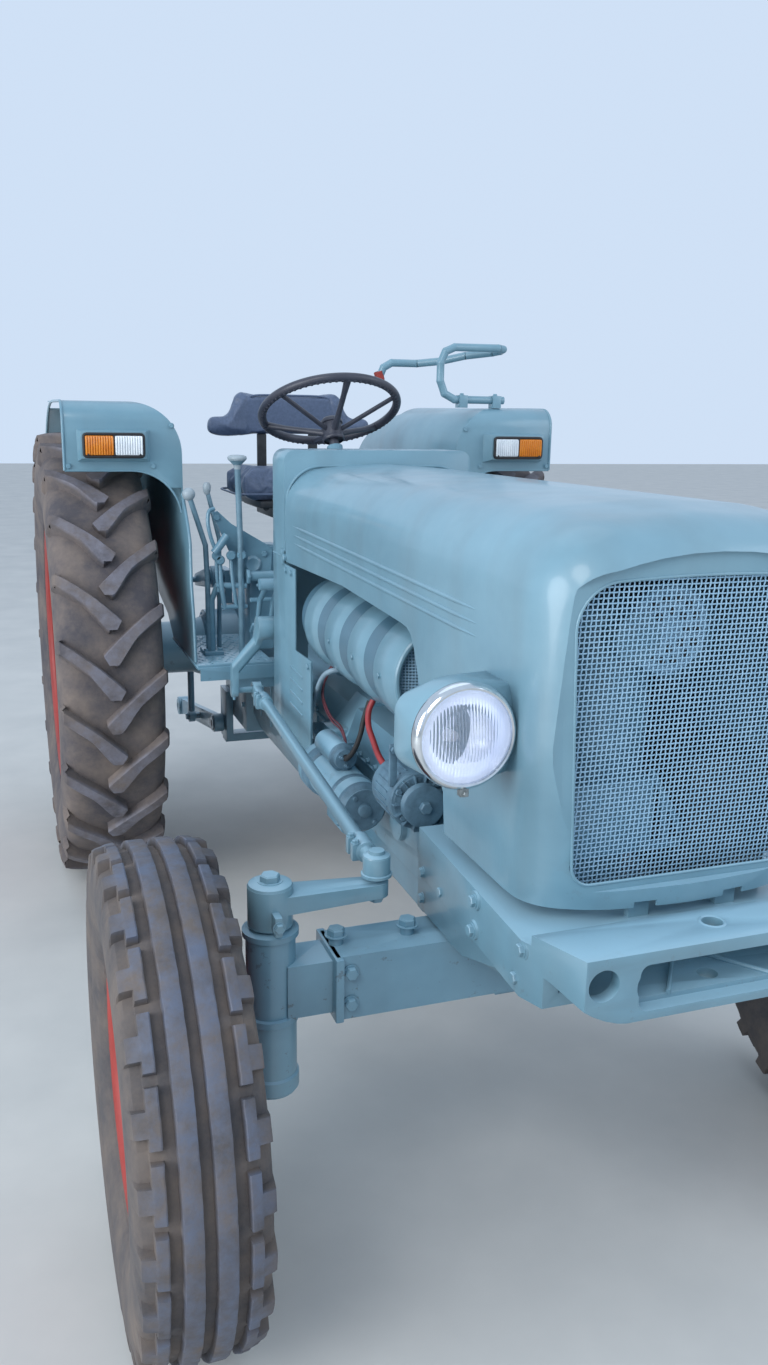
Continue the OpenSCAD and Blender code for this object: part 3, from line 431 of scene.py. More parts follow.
def paint_material(name, pale, deep, dirt, dirt_amount):
    """Brushed-on gloss paint, uneven in tone, with dirt low down, and painted sky light: low surfaces that
    face up are paled towards light blue.
    """
    s = Shader(name, Roughness=0.42, IOR=1.5, Coat_Weight=0.5, Coat_Roughness=0.14)
    clouds = s.noise(2.2, 5, 0.6, (1, 0.7, 1.4))
    base = s.ramp(clouds, (0.32, deep), (0.68, pale))
    streaks = s.noise(9, 3, 0.5, (1, 1, 0.22))
    base = s.mix(s.times(s.math("SUBTRACT", streaks, 0.45, True), 0.55), base, dirt)
    low = s.math("SUBTRACT", 1.0, s.above(0.35, 1.0))
    spots = s.times(s.math("GREATER_THAN", s.noise(26, 6, 0.7), 0.63), low)
    base = s.mix(s.times(spots, dirt_amount), base, dirt)
    # Painted sky light: surfaces below 0.86 m that face up are mixed towards pale blue.
    below = s.math("SUBTRACT", 1.0, s.above(0.86, 1.0))
    base = s.mix(s.times(s.times(s.upward(), below), 0.55), base, "#a9cfe0")
    s.finish(base, s.math("ADD", s.times(s.noise(14, 5), 0.22), 0.3))
    s.bump(s.noise(140, 3, 0.6, (1, 1, 0.35)), 0.00035, 0.5)
    s.bump(s.noise(4.5, 2), 0.004, 0.25)
    return s.material


def rubber_material(name, dark, mud, worn_and_sheen_colour, centre_y, radius):
    """Rubber with dried mud on the walls and in the grooves, and tread tops worn clean and given a painted
    bluish sheen of sky reflection.
    """
    s = Shader(name, Roughness=0.8)
    dusty = s.noise(7, 8, 0.7)
    fine = s.noise(60, 6, 0.7)
    base = s.mix(s.times(fine, 0.45), dark, "#6b6660")
    base = s.mix(s.ramp(dusty, (0.36, "#000000"), (0.74, "#ffffff")), base, mud)
    split = s.node("SeparateXYZ", {0: s.coords}).outputs
    along = s.math("POWER", s.math("SUBTRACT", split["Y"], centre_y), 2.0)
    up = s.math("POWER", s.math("SUBTRACT", split["Z"], radius), 2.0)
    reach = s.math("POWER", s.math("ADD", along, up), 0.5)
    patches = s.ramp(s.noise(16, 6, 0.7), (0.34, "#ffffff"), (0.64, "#404040"))
    # Tread tops: wear and a painted sheen of sky reflection, mixed in one colour.
    worn_and_sheen = s.times(s.span(reach, radius - 0.016, radius - 0.004), patches)
    base = s.mix(worn_and_sheen, base, worn_and_sheen_colour)
    s.finish(base, s.math("SUBTRACT", 0.86, s.times(worn_and_sheen, 0.34)))
    s.bump(fine, 0.0015, 0.5)
    s.bump(s.noise(18, 6, 0.65), 0.004, 0.4)
    return s.material


def simple_material(name, colour, second, roughness, metallic=0.0, scale=30, grain=0.0003):
    s = Shader(name, Metallic=metallic)
    fac = s.noise(scale, 6, 0.65)
    s.finish(s.ramp(fac, (0.3, colour), (0.72, second)), s.math("ADD", s.times(fac, 0.2), roughness - 0.08))
    s.bump(s.noise(scale * 5, 4), grain, 0.6)
    return s.material


def glass_material(name, tint, clear):
    s = Shader(name, Roughness=0.03, IOR=1.45, Transmission_Weight=clear)
    haze = s.ramp(s.noise(9, 4, 0.6, (1, 1, 0.4)), (0.35, tint), (0.7, "#ffffff"))
    s.feed(s.bsdf, {"Base Color": haze})
    return s.material


PAINT = paint_material("paint", "#7a9fae", "#658b9b", "#5d5850", 0.5)
PAINT_LOW = paint_material("paint_low", "#769eb0", "#5f879a", "#454039", 0.7)
# Darker paint for the painted shade in the air duct's recessed grooves.
GROOVE_PAINTED_SHADE = paint_material("painted_groove_shade", "#55788a", "#466879", "#35383a", 0.6)
CASTING = simple_material("castings", "#67889a", "#4d6878", 0.5)
IRON = simple_material("exhaust_iron", "#4b3a31", "#6d4a37", 0.8, 0.2)
BLACK_PLASTIC = simple_material("black_plastic", "#191a1d", "#2a2b2e", 0.5)
BLACK_METAL = simple_material("black_metal", "#1d1f22", "#33363a", 0.45)
STEEL = simple_material("steel", "#8d9397", "#6c6560", 0.42, 0.85)
ROD_PAINT = simple_material("rod_paint", "#7494a3", "#5d7b8a", 0.45)
ZINC = simple_material("zinc_bolts", "#a9adab", "#7b8487", 0.38, 0.8)
CHROME = simple_material("chrome", "#dfe3e6", "#cdd2d6", 0.12, 1.0, 60, 0.00002)
VINYL = simple_material("seat_vinyl", "#4b5970", "#5c6a84", 0.42, 0.0, 120, 0.0004)
BROWN = simple_material("brown_plastic", "#42444f", "#34353f", 0.36, 0.0, 12)
RED = simple_material("rim_red", "#a8382f", "#8a2c26", 0.45, 0.0, 8)
# The third colour on each tyre is tread-top wear with a painted bluish sheen of sky reflection.
RUBBER = rubber_material("tyre_rubber", "#403f45", "#776a60", "#5a6274", FRONT_Y, 0.43)
REAR_RUBBER = rubber_material("rear_tyre_rubber", "#44414a", "#82746a", "#77757f", REAR_Y, 0.75)
AMBER = simple_material("lamp_lens", "#e08a2a", "#c86f1c", 0.25)
LAMP_WHITE = simple_material("lamp_white", "#e9edf0", "#cfd6dc", 0.22)
LAMP_GLASS = glass_material("lamp_glass", "#e6e9f2", 0.9)
RED_RUBBER = simple_material("red_cable", "#a63a3c", "#8a2e30", 0.4, 0.0, 20)
GREY_RUBBER = simple_material("grey_conduit", "#8fa6b2", "#7b929f", 0.5, 0.0, 20)
DARK_RED = simple_material("dark_red_wire", "#6e3a42", "#583038", 0.45, 0.0, 20)
GRILLE_PAINT = simple_material("grille_paint", "#a3c6dc", "#8cb3cb", 0.45, 0.0, 40)
CASTING_RED = simple_material("hub_red", "#a5352c", "#5d4038", 0.6, 0.1, 14)
REFLECTOR = simple_material("reflector", "#eef2f8", "#c9d2df", 0.22, 0.7, 14, 0.00002)
# The reflector's glow is painted light: a painted reflection that brightens the bowl.
REFLECTOR_PAINTED_GLOW = REFLECTOR.node_tree.nodes["Principled BSDF"].inputs
REFLECTOR_PAINTED_GLOW["Emission Color"].default_value = rgba("#c9d6f0")
REFLECTOR_PAINTED_GLOW["Emission Strength"].default_value = 0.75
KNOB = simple_material("lever_knobs", "#a9b6bd", "#8f9ca3", 0.35, 0.0, 20)
# Dark navy for the sheets behind the grille that stand in for painted shade inside the hood.
INSIDE_PAINTED_SHADE = simple_material("inside_painted_shade", "#3c5a72", "#2c4458", 0.6, 0.0, 9)
BLACK_RUBBER = simple_material("black_hose", "#1b1b1c", "#2b2a29", 0.6, 0.0, 40)

LOW_PAINT_NODES = ("engine_block", "gearbox", "rear_axle", "front_axle", "drawbar", "starter", "footplates")


def dress_frame():
    """Every CAD node gets its slot's material."""
    slots = {part["node"]: part["material_slot"] for part in frame["record"]["subparts"]}
    for name, obj in frame["nodes"].items():
        material = PAINT_LOW if name in LOW_PAINT_NODES else Shader.made[slots[name]]
        dress(obj, REAR_RUBBER if name.startswith("rear_tyre") else material)


dress_frame()

# Hood, in millimetres from the front axle until it is made

HALF_WIDTH, TOP, LOW, NOSE, BACK = 275, 1445, 846, -415, 1110
ROUND, SHEET = 110, 4
BEZEL_PLANE = (-377.0, 1.2)
MESH_PLANE = (-344.5, 4.3)
GRILLE_HALF, GRILLE_LOW, GRILLE_TOP = 228, 890, 1360
HINGE_HALF_WIDTH = 19.5
SIDE_EDGE = [(-14, 925), (20, 976), (62, 1038), (98, 1092), (112, 1120), (126, 1152), (137, 1170),
    (150, 1182), (170, 1190), (200, 1193), (292, 1196), (593, 1205), (962, 1195), (1180, 1190)]


def arc_points(cx, cz, r, a, b, n=12):
    return [(cx + r * math.cos(math.radians(a + (b - a) * i / n)),
        cz + r * math.sin(math.radians(a + (b - a) * i / n))) for i in range(n + 1)]


def both_sides(half):
    return half + [(-x, z) for x, z in reversed(half)]


def grille_outline(inset=0.0):
    w, z0, z1 = GRILLE_HALF, GRILLE_LOW, GRILLE_TOP
    crown = [(x, z1 - inset - 5.4 * (x / (w - 62)) ** 2) for x in (0.001, 40, 80, 120)]
    return both_sides(crown + arc_points(w - 70, z1 - 75, 70 - inset, 84, 0, 16) + arc_points(w - 55,
        z0 + 35, 35 - inset, 0, -90))


def bezel_outline(inset=0.0):
    w, z0, z1 = GRILLE_HALF, GRILLE_LOW, GRILLE_TOP
    crown = [(x, z1 + 34 - inset - 23.6 * (x / 180) ** 2) for x in (0.001, 50, 100, 140)]
    side = [(w + out - inset, z0 + up) for out, up in ((28, 340), (28, 260), (22, 190), (11, 100))]
    return both_sides(crown + arc_points(w - 57, z1 - 74, 85 - inset, 84, 0, 16) + side + arc_points(w - 44,
        z0 + 28, 40 - inset, 0, -90))


def plane_y(plane, z):
    """Y of a nose plane, given as (Y at the hood's lower edge, lean in degrees), at height z."""
    return plane[0] - (z - LOW) * math.tan(math.radians(plane[1]))


def nose_cutter(outline, a, b):
    """A cutter with a 2D outline across the nose, from depth a to depth b behind the bezel's plane."""
    return cutter(*prism(*([front(x, plane_y(BEZEL_PLANE, z) + d, z) for x, z in outline] for d in (a, b))))


def hood_cloud(inset, low, back):
    """Points on the rounded forms whose hull is the hood."""
    r, cx, top = ROUND - inset, HALF_WIDTH - ROUND, TOP - ROUND
    cloud = []

    def disc(x, y, z, radius):
        cloud.extend((x + a, y + b, z) for a, b in circle(radius, 96))

    def ball(x, y, z):
        for i in range(25):
            t = math.pi * i / 48
            cloud.extend((x + a, y + b, z + r * math.sin(t)) for a, b in circle(r * math.cos(t), 72))

    for s in (-1, 1):
        for x, dz in ((s * cx, -10), (0, 0)):
            ball(x, NOSE + ROUND, top + dz)
            ball(x, NOSE + ROUND + 105, top + dz + 10)
            cloud += [(x * (1 - 10 / cx) + a, back, top + dz + b) for a, b in circle(r, 96)]
        disc(s * (HALF_WIDTH - 70), NOSE + 81, LOW + 254, 70 - inset)
        disc(s * (HALF_WIDTH - 105), NOSE + 151, low, 88 - inset)
        for x, y in ((0, 47), (92, 55), (140, 65)):
            disc(s * x, NOSE + y, low, 20 - inset)
        disc(0, NOSE + 23, LOW + 254, 20 - inset)
        cloud.append((s * (HALF_WIDTH - 20 - inset), back, low))
    return cloud


def hull(cloud):
    bm = bmesh.new()
    for p in cloud:
        bm.verts.new(p)
    bmesh.ops.convex_hull(bm, input=bm.verts)
    bmesh.ops.delete(bm, geom=[v for v in bm.verts if not v.link_faces], context="VERTS")
    return bm


def hood_tree(inset):
    """The hood's hull for finding points on its skin, longer below and behind than the real edges."""
    bm = hull(hood_cloud(inset, LOW - 60, BACK + 60))
    tree = BVHTree.FromBMesh(bm)
    bm.free()
    return tree


def hood_body(name, inset):
    """The hood's closed form as an even grid."""
    tree = hood_tree(inset)
    eye = Vector((0, -150, 1130))
    nose_rings, side_rings, around = 46, 26, 144
    stations = [(eye, math.pi / 2 * i / nose_rings) for i in range(1, nose_rings + 1)]
    stations += [(eye + Vector((0, (BACK + 200) * i / side_rings, 0)), math.pi / 2)
        for i in range(1, side_rings + 1)]
    verts = [tree.ray_cast(eye, Vector(AHEAD))[0]]
    for origin, theta in stations:
        for a, b in circle(math.sin(theta), around, 180 / around):
            verts.append(tree.ray_cast(origin, Vector((a, -math.cos(theta), b)))[0])
    faces = [[0, 1 + k, 1 + (k + 1) % around] for k in range(around)]
    faces += [[1 + i for i in face] for face in loft_faces(len(stations), around, False)]
    faces.append([len(verts) - around + k for k in range(around)])
    obj = add_mesh(name, [front(*v) for v in verts], faces, PAINT, 40)
    with edited(obj.data) as bm:
        inner = [v for v in bm.verts if v.co.y < front(0, BACK + 40, 0).y]
        for _ in range(4):
            bmesh.ops.smooth_vert(bm, verts=inner, factor=0.5, use_axis_x=True, use_axis_y=True,
                use_axis_z=True)
    return obj


def hood_shell():
    outer = hood_body("hood_shell", 0)
    inner = hood_body("hood_inner", SHEET)
    cut(outer, nose_cutter(bezel_outline(), -60, 0))
    cut(inner, nose_cutter(bezel_outline(-SHEET), -60, SHEET))
    cut(outer, inner)
    cut(outer, nose_cutter(grille_outline(), -60, 120))
    side = [(-14, 700)] + SIDE_EDGE + [(1180, 700)]
    cut(outer, cutter(*prism(*([front(x, y, z) for y, z in side] for x in (-420, 420)))))
    cut(outer, box_cutter((-500, -600, 600), (500, 1400, LOW)))
    cut(outer, box_cutter((-500, BACK, 600), (500, 1400, 1700)))
    for x in (-80, 80):
        cut(outer, box_cutter((x - HINGE_HALF_WIDTH, -430, 800), (x + HINGE_HALF_WIDTH, -367.7, 856)))
    shade(outer, 32)
    ride(outer, "hood", True)


def hood_trim():
    """Beads, rolled lips and hinge barrels."""
    tree = hood_tree(0)
    trim = Parts()

    def skin(s, y, z, sunk):
        """A place on the hood's side wall, a little way in."""
        return (tree.ray_cast(Vector((0, y, z)), Vector((s, 0, 0)))[0].x - s * sunk, y, z)

    for s in (-1, 1):
        for z in (1277, 1255, 1234):
            steps = [i / 60 for i in range(61)]
            start = -153 - 3 * (1277 - z) / 22
            points = [skin(s, start + 1182 * t, z + 13.5 * t, 1.2) for t in steps]
            trim.tube(points, [4.8 * min(1.0, 0.25 + 9 * min(t, 1 - t)) for t in steps], 8)
    trim.tube([(x, plane_y(BEZEL_PLANE, z) + 0.6, z) for x, z in grille_outline(0.2)], 2.6, 8, closed=True)
    edge = [(-14, 846)] + SIDE_EDGE[:-1] + [(1108, 1190.6)]
    path = []
    for (y0, z0), (y1, z1) in zip(edge, edge[1:]):
        steps = max(1, int(math.hypot(y1 - y0, z1 - z0) / 25))
        path += [(y0 + (y1 - y0) * i / steps, z0 + (z1 - z0) * i / steps) for i in range(steps)]
    for s in (-1, 1):
        trim.tube([skin(s, y, z, 2) for y, z in path + edge[-1:]], 2.4, 6)
    for middle in (-80, 80):
        for x in (middle - 40, middle + 20):
            trim.rod((x, -364, 852), (x + 20, -364, 852), 6.5, 20, 0.8)
            trim.box((x, -373.5, 852), (x + 20, -361, 878), 1)
        trim.rod((middle - 40, -364, 852), (middle + 40, -364, 852), 3.5)
    trim.make("hood_trim", PAINT, "hood", 50)


def clip_span(outline, value, axis):
    """The low and high crossing of a line at value with a convex outline."""
    found = []
    for p, q in zip(outline, outline[1:] + outline[:1]):
        if (p[axis] - value) * (q[axis] - value) < 0:
            t = (value - p[axis]) / (q[axis] - p[axis])
            found.append(p[1 - axis] + t * (q[1 - axis] - p[1 - axis]))
    return (min(found), max(found)) if len(found) >= 2 else None


def woven_grille():
    pitch, lift = 8.0, 1.2
    columns, rows = range(-28, 29), range(-3, 60)
    wires = Parts()

    def low_part_dropped(outline):
        return [(x, z - 20 if z < 960 else z) for x, z in outline]

    def place(x, z, out=0):
        return (x, plane_y(MESH_PLANE, z) + 1.4 + out, z)

    outline = low_part_dropped(grille_outline(-2.5))
    for i in columns:
        x = i * pitch
        span = clip_span(outline, x + 0.01, 0)
        if span:
            inner = [k for k in rows if span[0] < GRILLE_LOW + k * pitch < span[1]]
            points = [place(x, GRILLE_LOW + k * pitch, lift if (i + k) % 2 else -lift) for k in inner]
            wires.tube([place(x, span[0])] + points + [place(x, span[1])], 1.25, 5, cap=False)
    for k in rows:
        z = GRILLE_LOW + k * pitch
        span = clip_span(outline, z + 0.01, 1)
        if span:
            inner = [i for i in columns if span[0] < i * pitch < span[1]]
            points = [place(i * pitch, z, -lift if (i + k) % 2 else lift) for i in inner]
            wires.tube([place(span[0], z)] + points + [place(span[1], z)], 1.25, 5, cap=False)
    wires.make("grille_mesh", GRILLE_PAINT, "grille", 70, True)
    rim = Parts()
    rim.tube([place(x, z) for x, z in low_part_dropped(grille_outline(-1))], 3.5, 8, closed=True)
    rim.make("grille_frame", GRILLE_PAINT, "hood", 50)

# Headlamps

LAMP = (357, -306, 1120)
LAMP_RADIUS = 80
LAMP_RING = [(73.5, -12), (80.5, -12), (82.2, -8), (82.5, -2), (81.5, 4), (78.5, 8.5), (75.2, 10.5),
    (72.2, 9.5), (71.2, 6.5), (71.2, 2), (73.5, -12)]
LAMP_BOWL = [(12, -46), (30, -41), (48, -30), (60, -18), (68, -6), (71.5, 1), (73, 1), (70, -8), (62, -22),
    (30, -45), (12, -50)]
LAMP_BULB = [(0, -47), (11, -47), (11, -36), (7.5, -32), (9.5, -24), (7.5, -15), (0, -12)]


def lamp_shell(side, s, x, y, z):
    """The lamp's bowl, melted into the hood's side."""
    cloud = [(x + a, y + d + 2, z + b) for d, r in ((0, LAMP_RADIUS - 4), (8, LAMP_RADIUS),
        (55, LAMP_RADIUS)) for a, b in circle(r, 96)]
    for cz in (-34, 20):
        for d, r in ((74, 34), (88, 34), (93, 30), (95, 25)):
            cloud += [(x + s * 45 + a, y + d, z + cz + b) for a, b in circle(r, 48)]
    for dy, dz in ((40, -72), (132, -72), (40, 64), (132, 64), (128, -66), (128, 58)):
        cloud.append((s * 255, y + dy, z + dz))
    bm = hull(front(*p) for p in cloud)
    bmesh.ops.dissolve_limit(bm, angle_limit=math.radians(0.6), verts=bm.verts, edges=bm.edges)
    mesh = bpy.data.meshes.new("lamp_body_" + side)
    bm.to_mesh(mesh)
    bm.free()
    shell = linked("lamp_body_" + side, mesh)
    mesh.materials.append(PAINT)
    hole = Parts()
    hole.rod((x, y - 20, z), (x, y + 34, z), 73.5, 64)
    cut(shell, cutter(hole.verts, hole.faces))
    bevelled(shell, 2.5, 30)
    ride(shell, "headlamps", True)


def fluted_glass(x, y, z):
    """A domed front with upright flutes and its like back, 3 mm behind."""
    radius, columns, rows = 71.6, 112, 32
    glass = Parts()
    verts = []
    for i in range(columns + 1):
        for j in range(rows + 1):
            u, v = -1 + 2 * i / columns, -1 + 2 * j / rows
            across, up = u * radius, v * math.sqrt(max(0.0, 1 - u * u)) * radius
            fall = 1 - (across**2 + up**2) / radius**2
            flute = 1.8 * math.cos(math.pi * i / 2) * fall if abs(v) < 0.9 else 0
            verts.append(front(x, y, z) + offset(across, -(4.5 + 9.5 * fall + flute), up))
    step = rows + 1
    corners = [i * step + j for i in range(columns) for j in range(rows)]
    faces = [[a, a + step, a + step + 1, a + 1] for a in corners]
    glass.add(verts, faces)
    glass.add([v + offset(0, 3, 0) for v in verts], [face[::-1] for face in faces])
    return glass


def headlamp(s, side):
    x, y, z = s * LAMP[0], LAMP[1], LAMP[2]
    lamp_shell(side, s, x, y, z)
    for name, material, angle, segments, profile in (("ring", CHROME, 45, 96, LAMP_RING),
            ("bowl", REFLECTOR, 60, 64, LAMP_BOWL), ("bulb", LAMP_WHITE, 50, 24, LAMP_BULB)):
        parts = Parts()
        parts.lathe((x, y, z), AHEAD, profile, segments)
        parts.make("lamp_" + name + "_" + side, material, "hood", angle)
    fluted_glass(x, y, z).make("lamp_glass_" + side, LAMP_GLASS, "headlamp_glass", 80, True)
    screw = Parts()
    screw.box((x - 7, y - 6, z - 93), (x + 7, y + 8, z - 80))
    screw.bolt((x, y - 6, z - 87), AHEAD, 4.2, 4)
    screw.make("lamp_screw_" + side, ZINC, "hood", 40)


hood_shell()
hood_trim()
woven_grille()
for s, side in SIDES:
    headlamp(s, side)

# Wheels: (half the track, radius)

FRONT_WHEEL = (768, 430)
REAR_WHEEL = (690, 750)
FRONT_BLOCKS = 26
REAR_LUGS = 23


def wheel_place(place, s, wheel, v, angle, r):
    """A point on a wheel: v outwards from its middle, angle up from the front, r from its axle."""
    a = math.radians(angle)
    return place(s * (wheel[0] + v), -r * math.cos(a), wheel[1] + r * math.sin(a))


def worn(point, size, scale):
    """A small seeded shift that makes an edge look used."""
    return size * noise.noise(point * scale)


# Distance from the tyre's middle, floor radius, top radius and the raised part it belongs to
FRONT_TREAD = [(0, 415, 415, ""), (8, 415, 415, ""), (10, 429, 429, ""), (12, 430, 430, ""),
    (24, 430, 430, ""), (36, 429.5, 429.5, ""), (38, 428.5, 428.5, ""), (40, 415, 415, ""),
    (56, 414, 414, ""), (58, 413, 427, "rib"), (60, 412, 428, "rib"), (73, 409, 426, "rib"),
    (75.5, 408, 425, "rib"), (77, 406, 424, "tab"), (91, 400, 421, "tab"), (96, 394, 418, "tab"),
    (98.5, 386, 402, "tab"), (100.5, 378, 380, "tab")]
FRONT_WALL = [(102, 366), (103, 345), (102.4, 325), (100, 305), (98.6, 302), (98.2, 296), (95, 280),
    (91.6, 270), (91, 266), (87, 256), (82.5, 250), (80, 245.5), (77, 243.5), (66, 231)]
# Where each raised part stands, as fractions of a block
RAISED = {"rib": (0.025, 0.83), "tab": (0.32, 0.66), "": (0, 1)}
# The two halves of the tread are out of step
LAG = {1: 0.0, -1: 0.37}


def front_tyre(s, side):
    half = FRONT_TREAD + [(v, r, r, "") for v, r in FRONT_WALL]
    columns = [(v, a, b, kind, 1) for v, a, b, kind in half]
    columns += [(-v, a, b, kind, -1) for v, a, b, kind in reversed(half[1:])]
    period = 360 / FRONT_BLOCKS
    marks = [0, 0.025, 0.16, 0.29, 0.32, 0.5, 0.66, 0.69, 0.83, 0.86]
    lines = sorted({round((m + shift) % 1, 4) for m in marks for shift in LAG.values()})
    verts = []
    for k in range(FRONT_BLOCKS):
        for fraction in lines:
            angle = 27 + period / 2 - period * (k + fraction)
            for v, low, high, kind, way in columns:
                start, end = RAISED[kind]
                r = high if start <= round((fraction - LAG[way]) % 1, 4) <= end else low
                p = wheel_place(front, s, FRONT_WHEEL, v, angle, r)
                if abs(v) < 99:
                    r += worn(p, 1.2, 38) + worn(p, 0.7, 120)
                    v += worn(p + Vector((3, 0, 0)), 0.9, 60)
                else:
                    r += worn(p, 0.8, 12)
                verts.append(wheel_place(front, s, FRONT_WHEEL, v, angle, min(r, FRONT_WHEEL[1] - 0.2)))
    faces = loft_faces(FRONT_BLOCKS * len(lines), len(columns))
    tyre = add_mesh("front_tyre_" + side + "_tread", verts, faces, RUBBER, 26)
    ride(tyre, "front_tyre_" + side, True)


def level(table, value):
    """Straight-line reading of (input, output) pairs, sorted by input."""
    for (a, p), (b, q) in zip(table, table[1:]):
        if value <= b:
            return p + (q - p) * max(0.0, (value - a) / (b - a))
    return table[-1][1]


CARCASS = [(0, 719), (60, 718.5), (90, 716), (110, 712), (122, 707), (134, 698), (142, 688), (149, 668),
    (154, 640), (156, 610), (155, 585), (151, 560), (149.5, 557), (149, 548), (144, 520), (139, 500),
    (136, 488), (133, 480), (126, 477.5), (121, 476), (115, 458)]
LUG_TOP = [(-40, 750), (0, 750), (60, 749), (100, 746), (135, 741), (150, 735)]
# A lug's lower and upper edge as (distance from the tyre's middle, angle), from its tip to the shoulder
LUG_LOW = [(8, -0.1), (15, 0.15), (34, 2.2), (52, 4.2), (70, 6.0), (88, 7.2), (105, 8.2), (128, 9.6),
    (147, 10.8)]
LUG_HIGH = [(-14, 0.2), (-28, 2.1), (-6, 3.8), (16, 5.4), (38, 7.0), (64, 8.7), (90, 10.3), (120, 12.1),
    (147, 13.6)]
# A lug across: (way from the lower to the upper edge, angle outwards times LUG_SCALE, height)
LUG_ACROSS = [(0, -9, "base"), (0, -1.5, "edge"), (0, 2.0, "top"), (0.5, 0, "top"), (1, -2.0, "top"),
    (1, 1.5, "edge"), (1, 9, "base")]
LUG_SCALE = 13.0
# The lug's run down the tyre's wall: distance from the tyre's middle, radius, share that it narrows
LUG_FOOT = [(153, 722, 0.0), (156.5, 700, 0.25), (157.5, 676, 0.6)]


def lug_rings(wear):
    rings = []
    for (u0, a0), (u1, a1) in zip(LUG_LOW, LUG_HIGH):
        ring = []
        for t, grow, kind in LUG_ACROSS:
            u = u0 + (u1 - u0) * t
            top = level(LUG_TOP, u) + wear
            r = {"base": level(CARCASS, abs(u)) - 3, "edge": top - 3.5, "top": top}[kind]
            ring.append((u, a0 + (a1 - a0) * t + grow / LUG_SCALE, r))
        rings.append(ring)
    a0, a1 = LUG_LOW[-1][1], LUG_HIGH[-1][1]
    middle = (a0 + a1) / 2
    for out, top, squeeze in LUG_FOOT:
        ring = []
        for t, grow, kind in LUG_ACROSS:
            a = a0 + (a1 - a0) * t + grow / LUG_SCALE
            depth = {"base": 13, "edge": 3, "top": 0}[kind]
            ring.append((out - depth, middle + (a - middle) * (1 - 0.2 * squeeze), top - depth * 0.8))
        rings.append(ring)
    return rings


def rear_tyre(s, side):
    tyre = Parts()

    def place(v, angle, r):
        return wheel_place(rear, s, REAR_WHEEL, v, angle, r)

    columns = CARCASS + [(-v, r) for v, r in reversed(CARCASS[1:])]
    steps = 192
    verts = [place(v, 360 * i / steps, r + worn(place(v, 360 * i / steps, r), 1.6, 9)) for i in range(steps)
        for v, r in columns]
    tyre.add(verts, loft_faces(steps, len(columns)))
    period = 360 / REAR_LUGS
    for way in (1, -1):
        for i in range(REAR_LUGS):
            start = 16.5 + (0 if way > 0 else -period / 2) + i * period
            rings = lug_rings(random.uniform(-1.0, 0.4))
            verts = []
            for u, a, r in (point for ring in rings for point in ring):
                p = place(way * u, start + a, r)
                r = min(r + worn(p, 1.4, 30), REAR_WHEEL[1] - 0.2)
                a += worn(p + Vector((0, 5, 0)), 0.12, 22)
                verts.append(place(way * u, start + a, r))
            rows, k = len(rings), len(LUG_ACROSS)
            faces = [[j * k + i, (j + 1) * k + i, (j + 1) * k + i + 1, j * k + i + 1]
                for j in range(rows - 1) for i in range(k - 1)]
            faces += [list(range(k)), [(rows - 1) * k + i for i in range(k)][::-1]]
            tyre.add(verts, faces)
    tyre.make("rear_tyre_" + side + "_tread", REAR_RUBBER, "rear_tyre_" + side, 34, True)


def rim_section(half_width, outer, edge, inner):
    """A rim's closed section from (radius, distance from its side)."""
    start = [(edge[-1][0], -half_width)]
    left = [(r, d - half_width) for r, d in outer]
    right = [(r, half_width - d) for r, d in outer[::-1] + edge + inner]
    return start + left + right + [(r, d - half_width) for r, d in inner[::-1]] + start


FRONT_SECTION = rim_section(76, [(243, 0), (245.5, 2), (245, 5), (236, 8), (230, 12), (229.5, 30),
    (215, 42), (206, 50)], [(236, 1), (228, 5), (222, 12)], [(221, 28), (200, 46), (198, 50)])
FRONT_DISC = [(30, 12), (92, 12), (102, 11), (112, 4), (124, -4), (150, -10), (176, -11), (186, -7),
    (199, -7), (199, -12), (184, -13), (176, -16), (150, -15), (122, -9), (110, -1), (101, 6), (92, 7),
    (30, 7)]
FRONT_HUB = [(0, -127), (44, -127), (56, -118), (60, -60), (74, -50), (86, -46), (86, 6), (60, 12),
    (43, 13.5), (41, 17), (40, 33), (36, 38), (20, 39.5), (0, 39.5)]
REAR_SECTION = rim_section(130, [(474, 0), (477.5, 3), (476, 7), (464, 12), (457, 18), (456, 48), (436, 66),
    (423, 80)], [(464, 2), (452, 8), (447, 16)], [(446, 46), (415, 74), (413, 80)])
REAR_DISC = [(60, -130), (146, -130), (160, -126), (250, -66), (262, -54), (300, -50), (372, -50),
    (384, -44), (404, -24), (414, -22), (414, -30), (400, -33), (380, -54), (372, -58), (300, -58),
    (258, -62), (246, -75), (156, -135), (146, -138), (60, -138)]
REAR_HUB = [(0, -144), (100, -144), (100, -128), (92, -122), (60, -120), (54, -114), (50, -92), (38, -82),
    (0, -80)]


def rim_parts(middle, out, segments, section, disc, hub):
    face, centre = Parts(), Parts()
    face.lathe(middle, out, section, segments)
    face.lathe(middle, out, disc, segments)
    centre.lathe(middle, out, hub, 48)
    return face, centre


def front_rim(s, side):
    out = Vector((s, 0, 0))
    middle = wheel_place(front, s, FRONT_WHEEL, 0, 0, 0)
    face, hub = rim_parts(middle, out, 96, FRONT_SECTION, FRONT_DISC, FRONT_HUB)
    for i in range(6):
        place = wheel_place(front, s, FRONT_WHEEL, 12, 60 * i + 12, 74)
        hub.bolt(place, out, 12.5, 14)
        hub.rod(place, place + out * 0.024, 6, 10, 1)
    face.make("front_rim_" + side + "_disc", RED, "front_rim_" + side, 28, True)
    hub.make("front_hub_" + side, CASTING_RED, "front_rim_" + side)


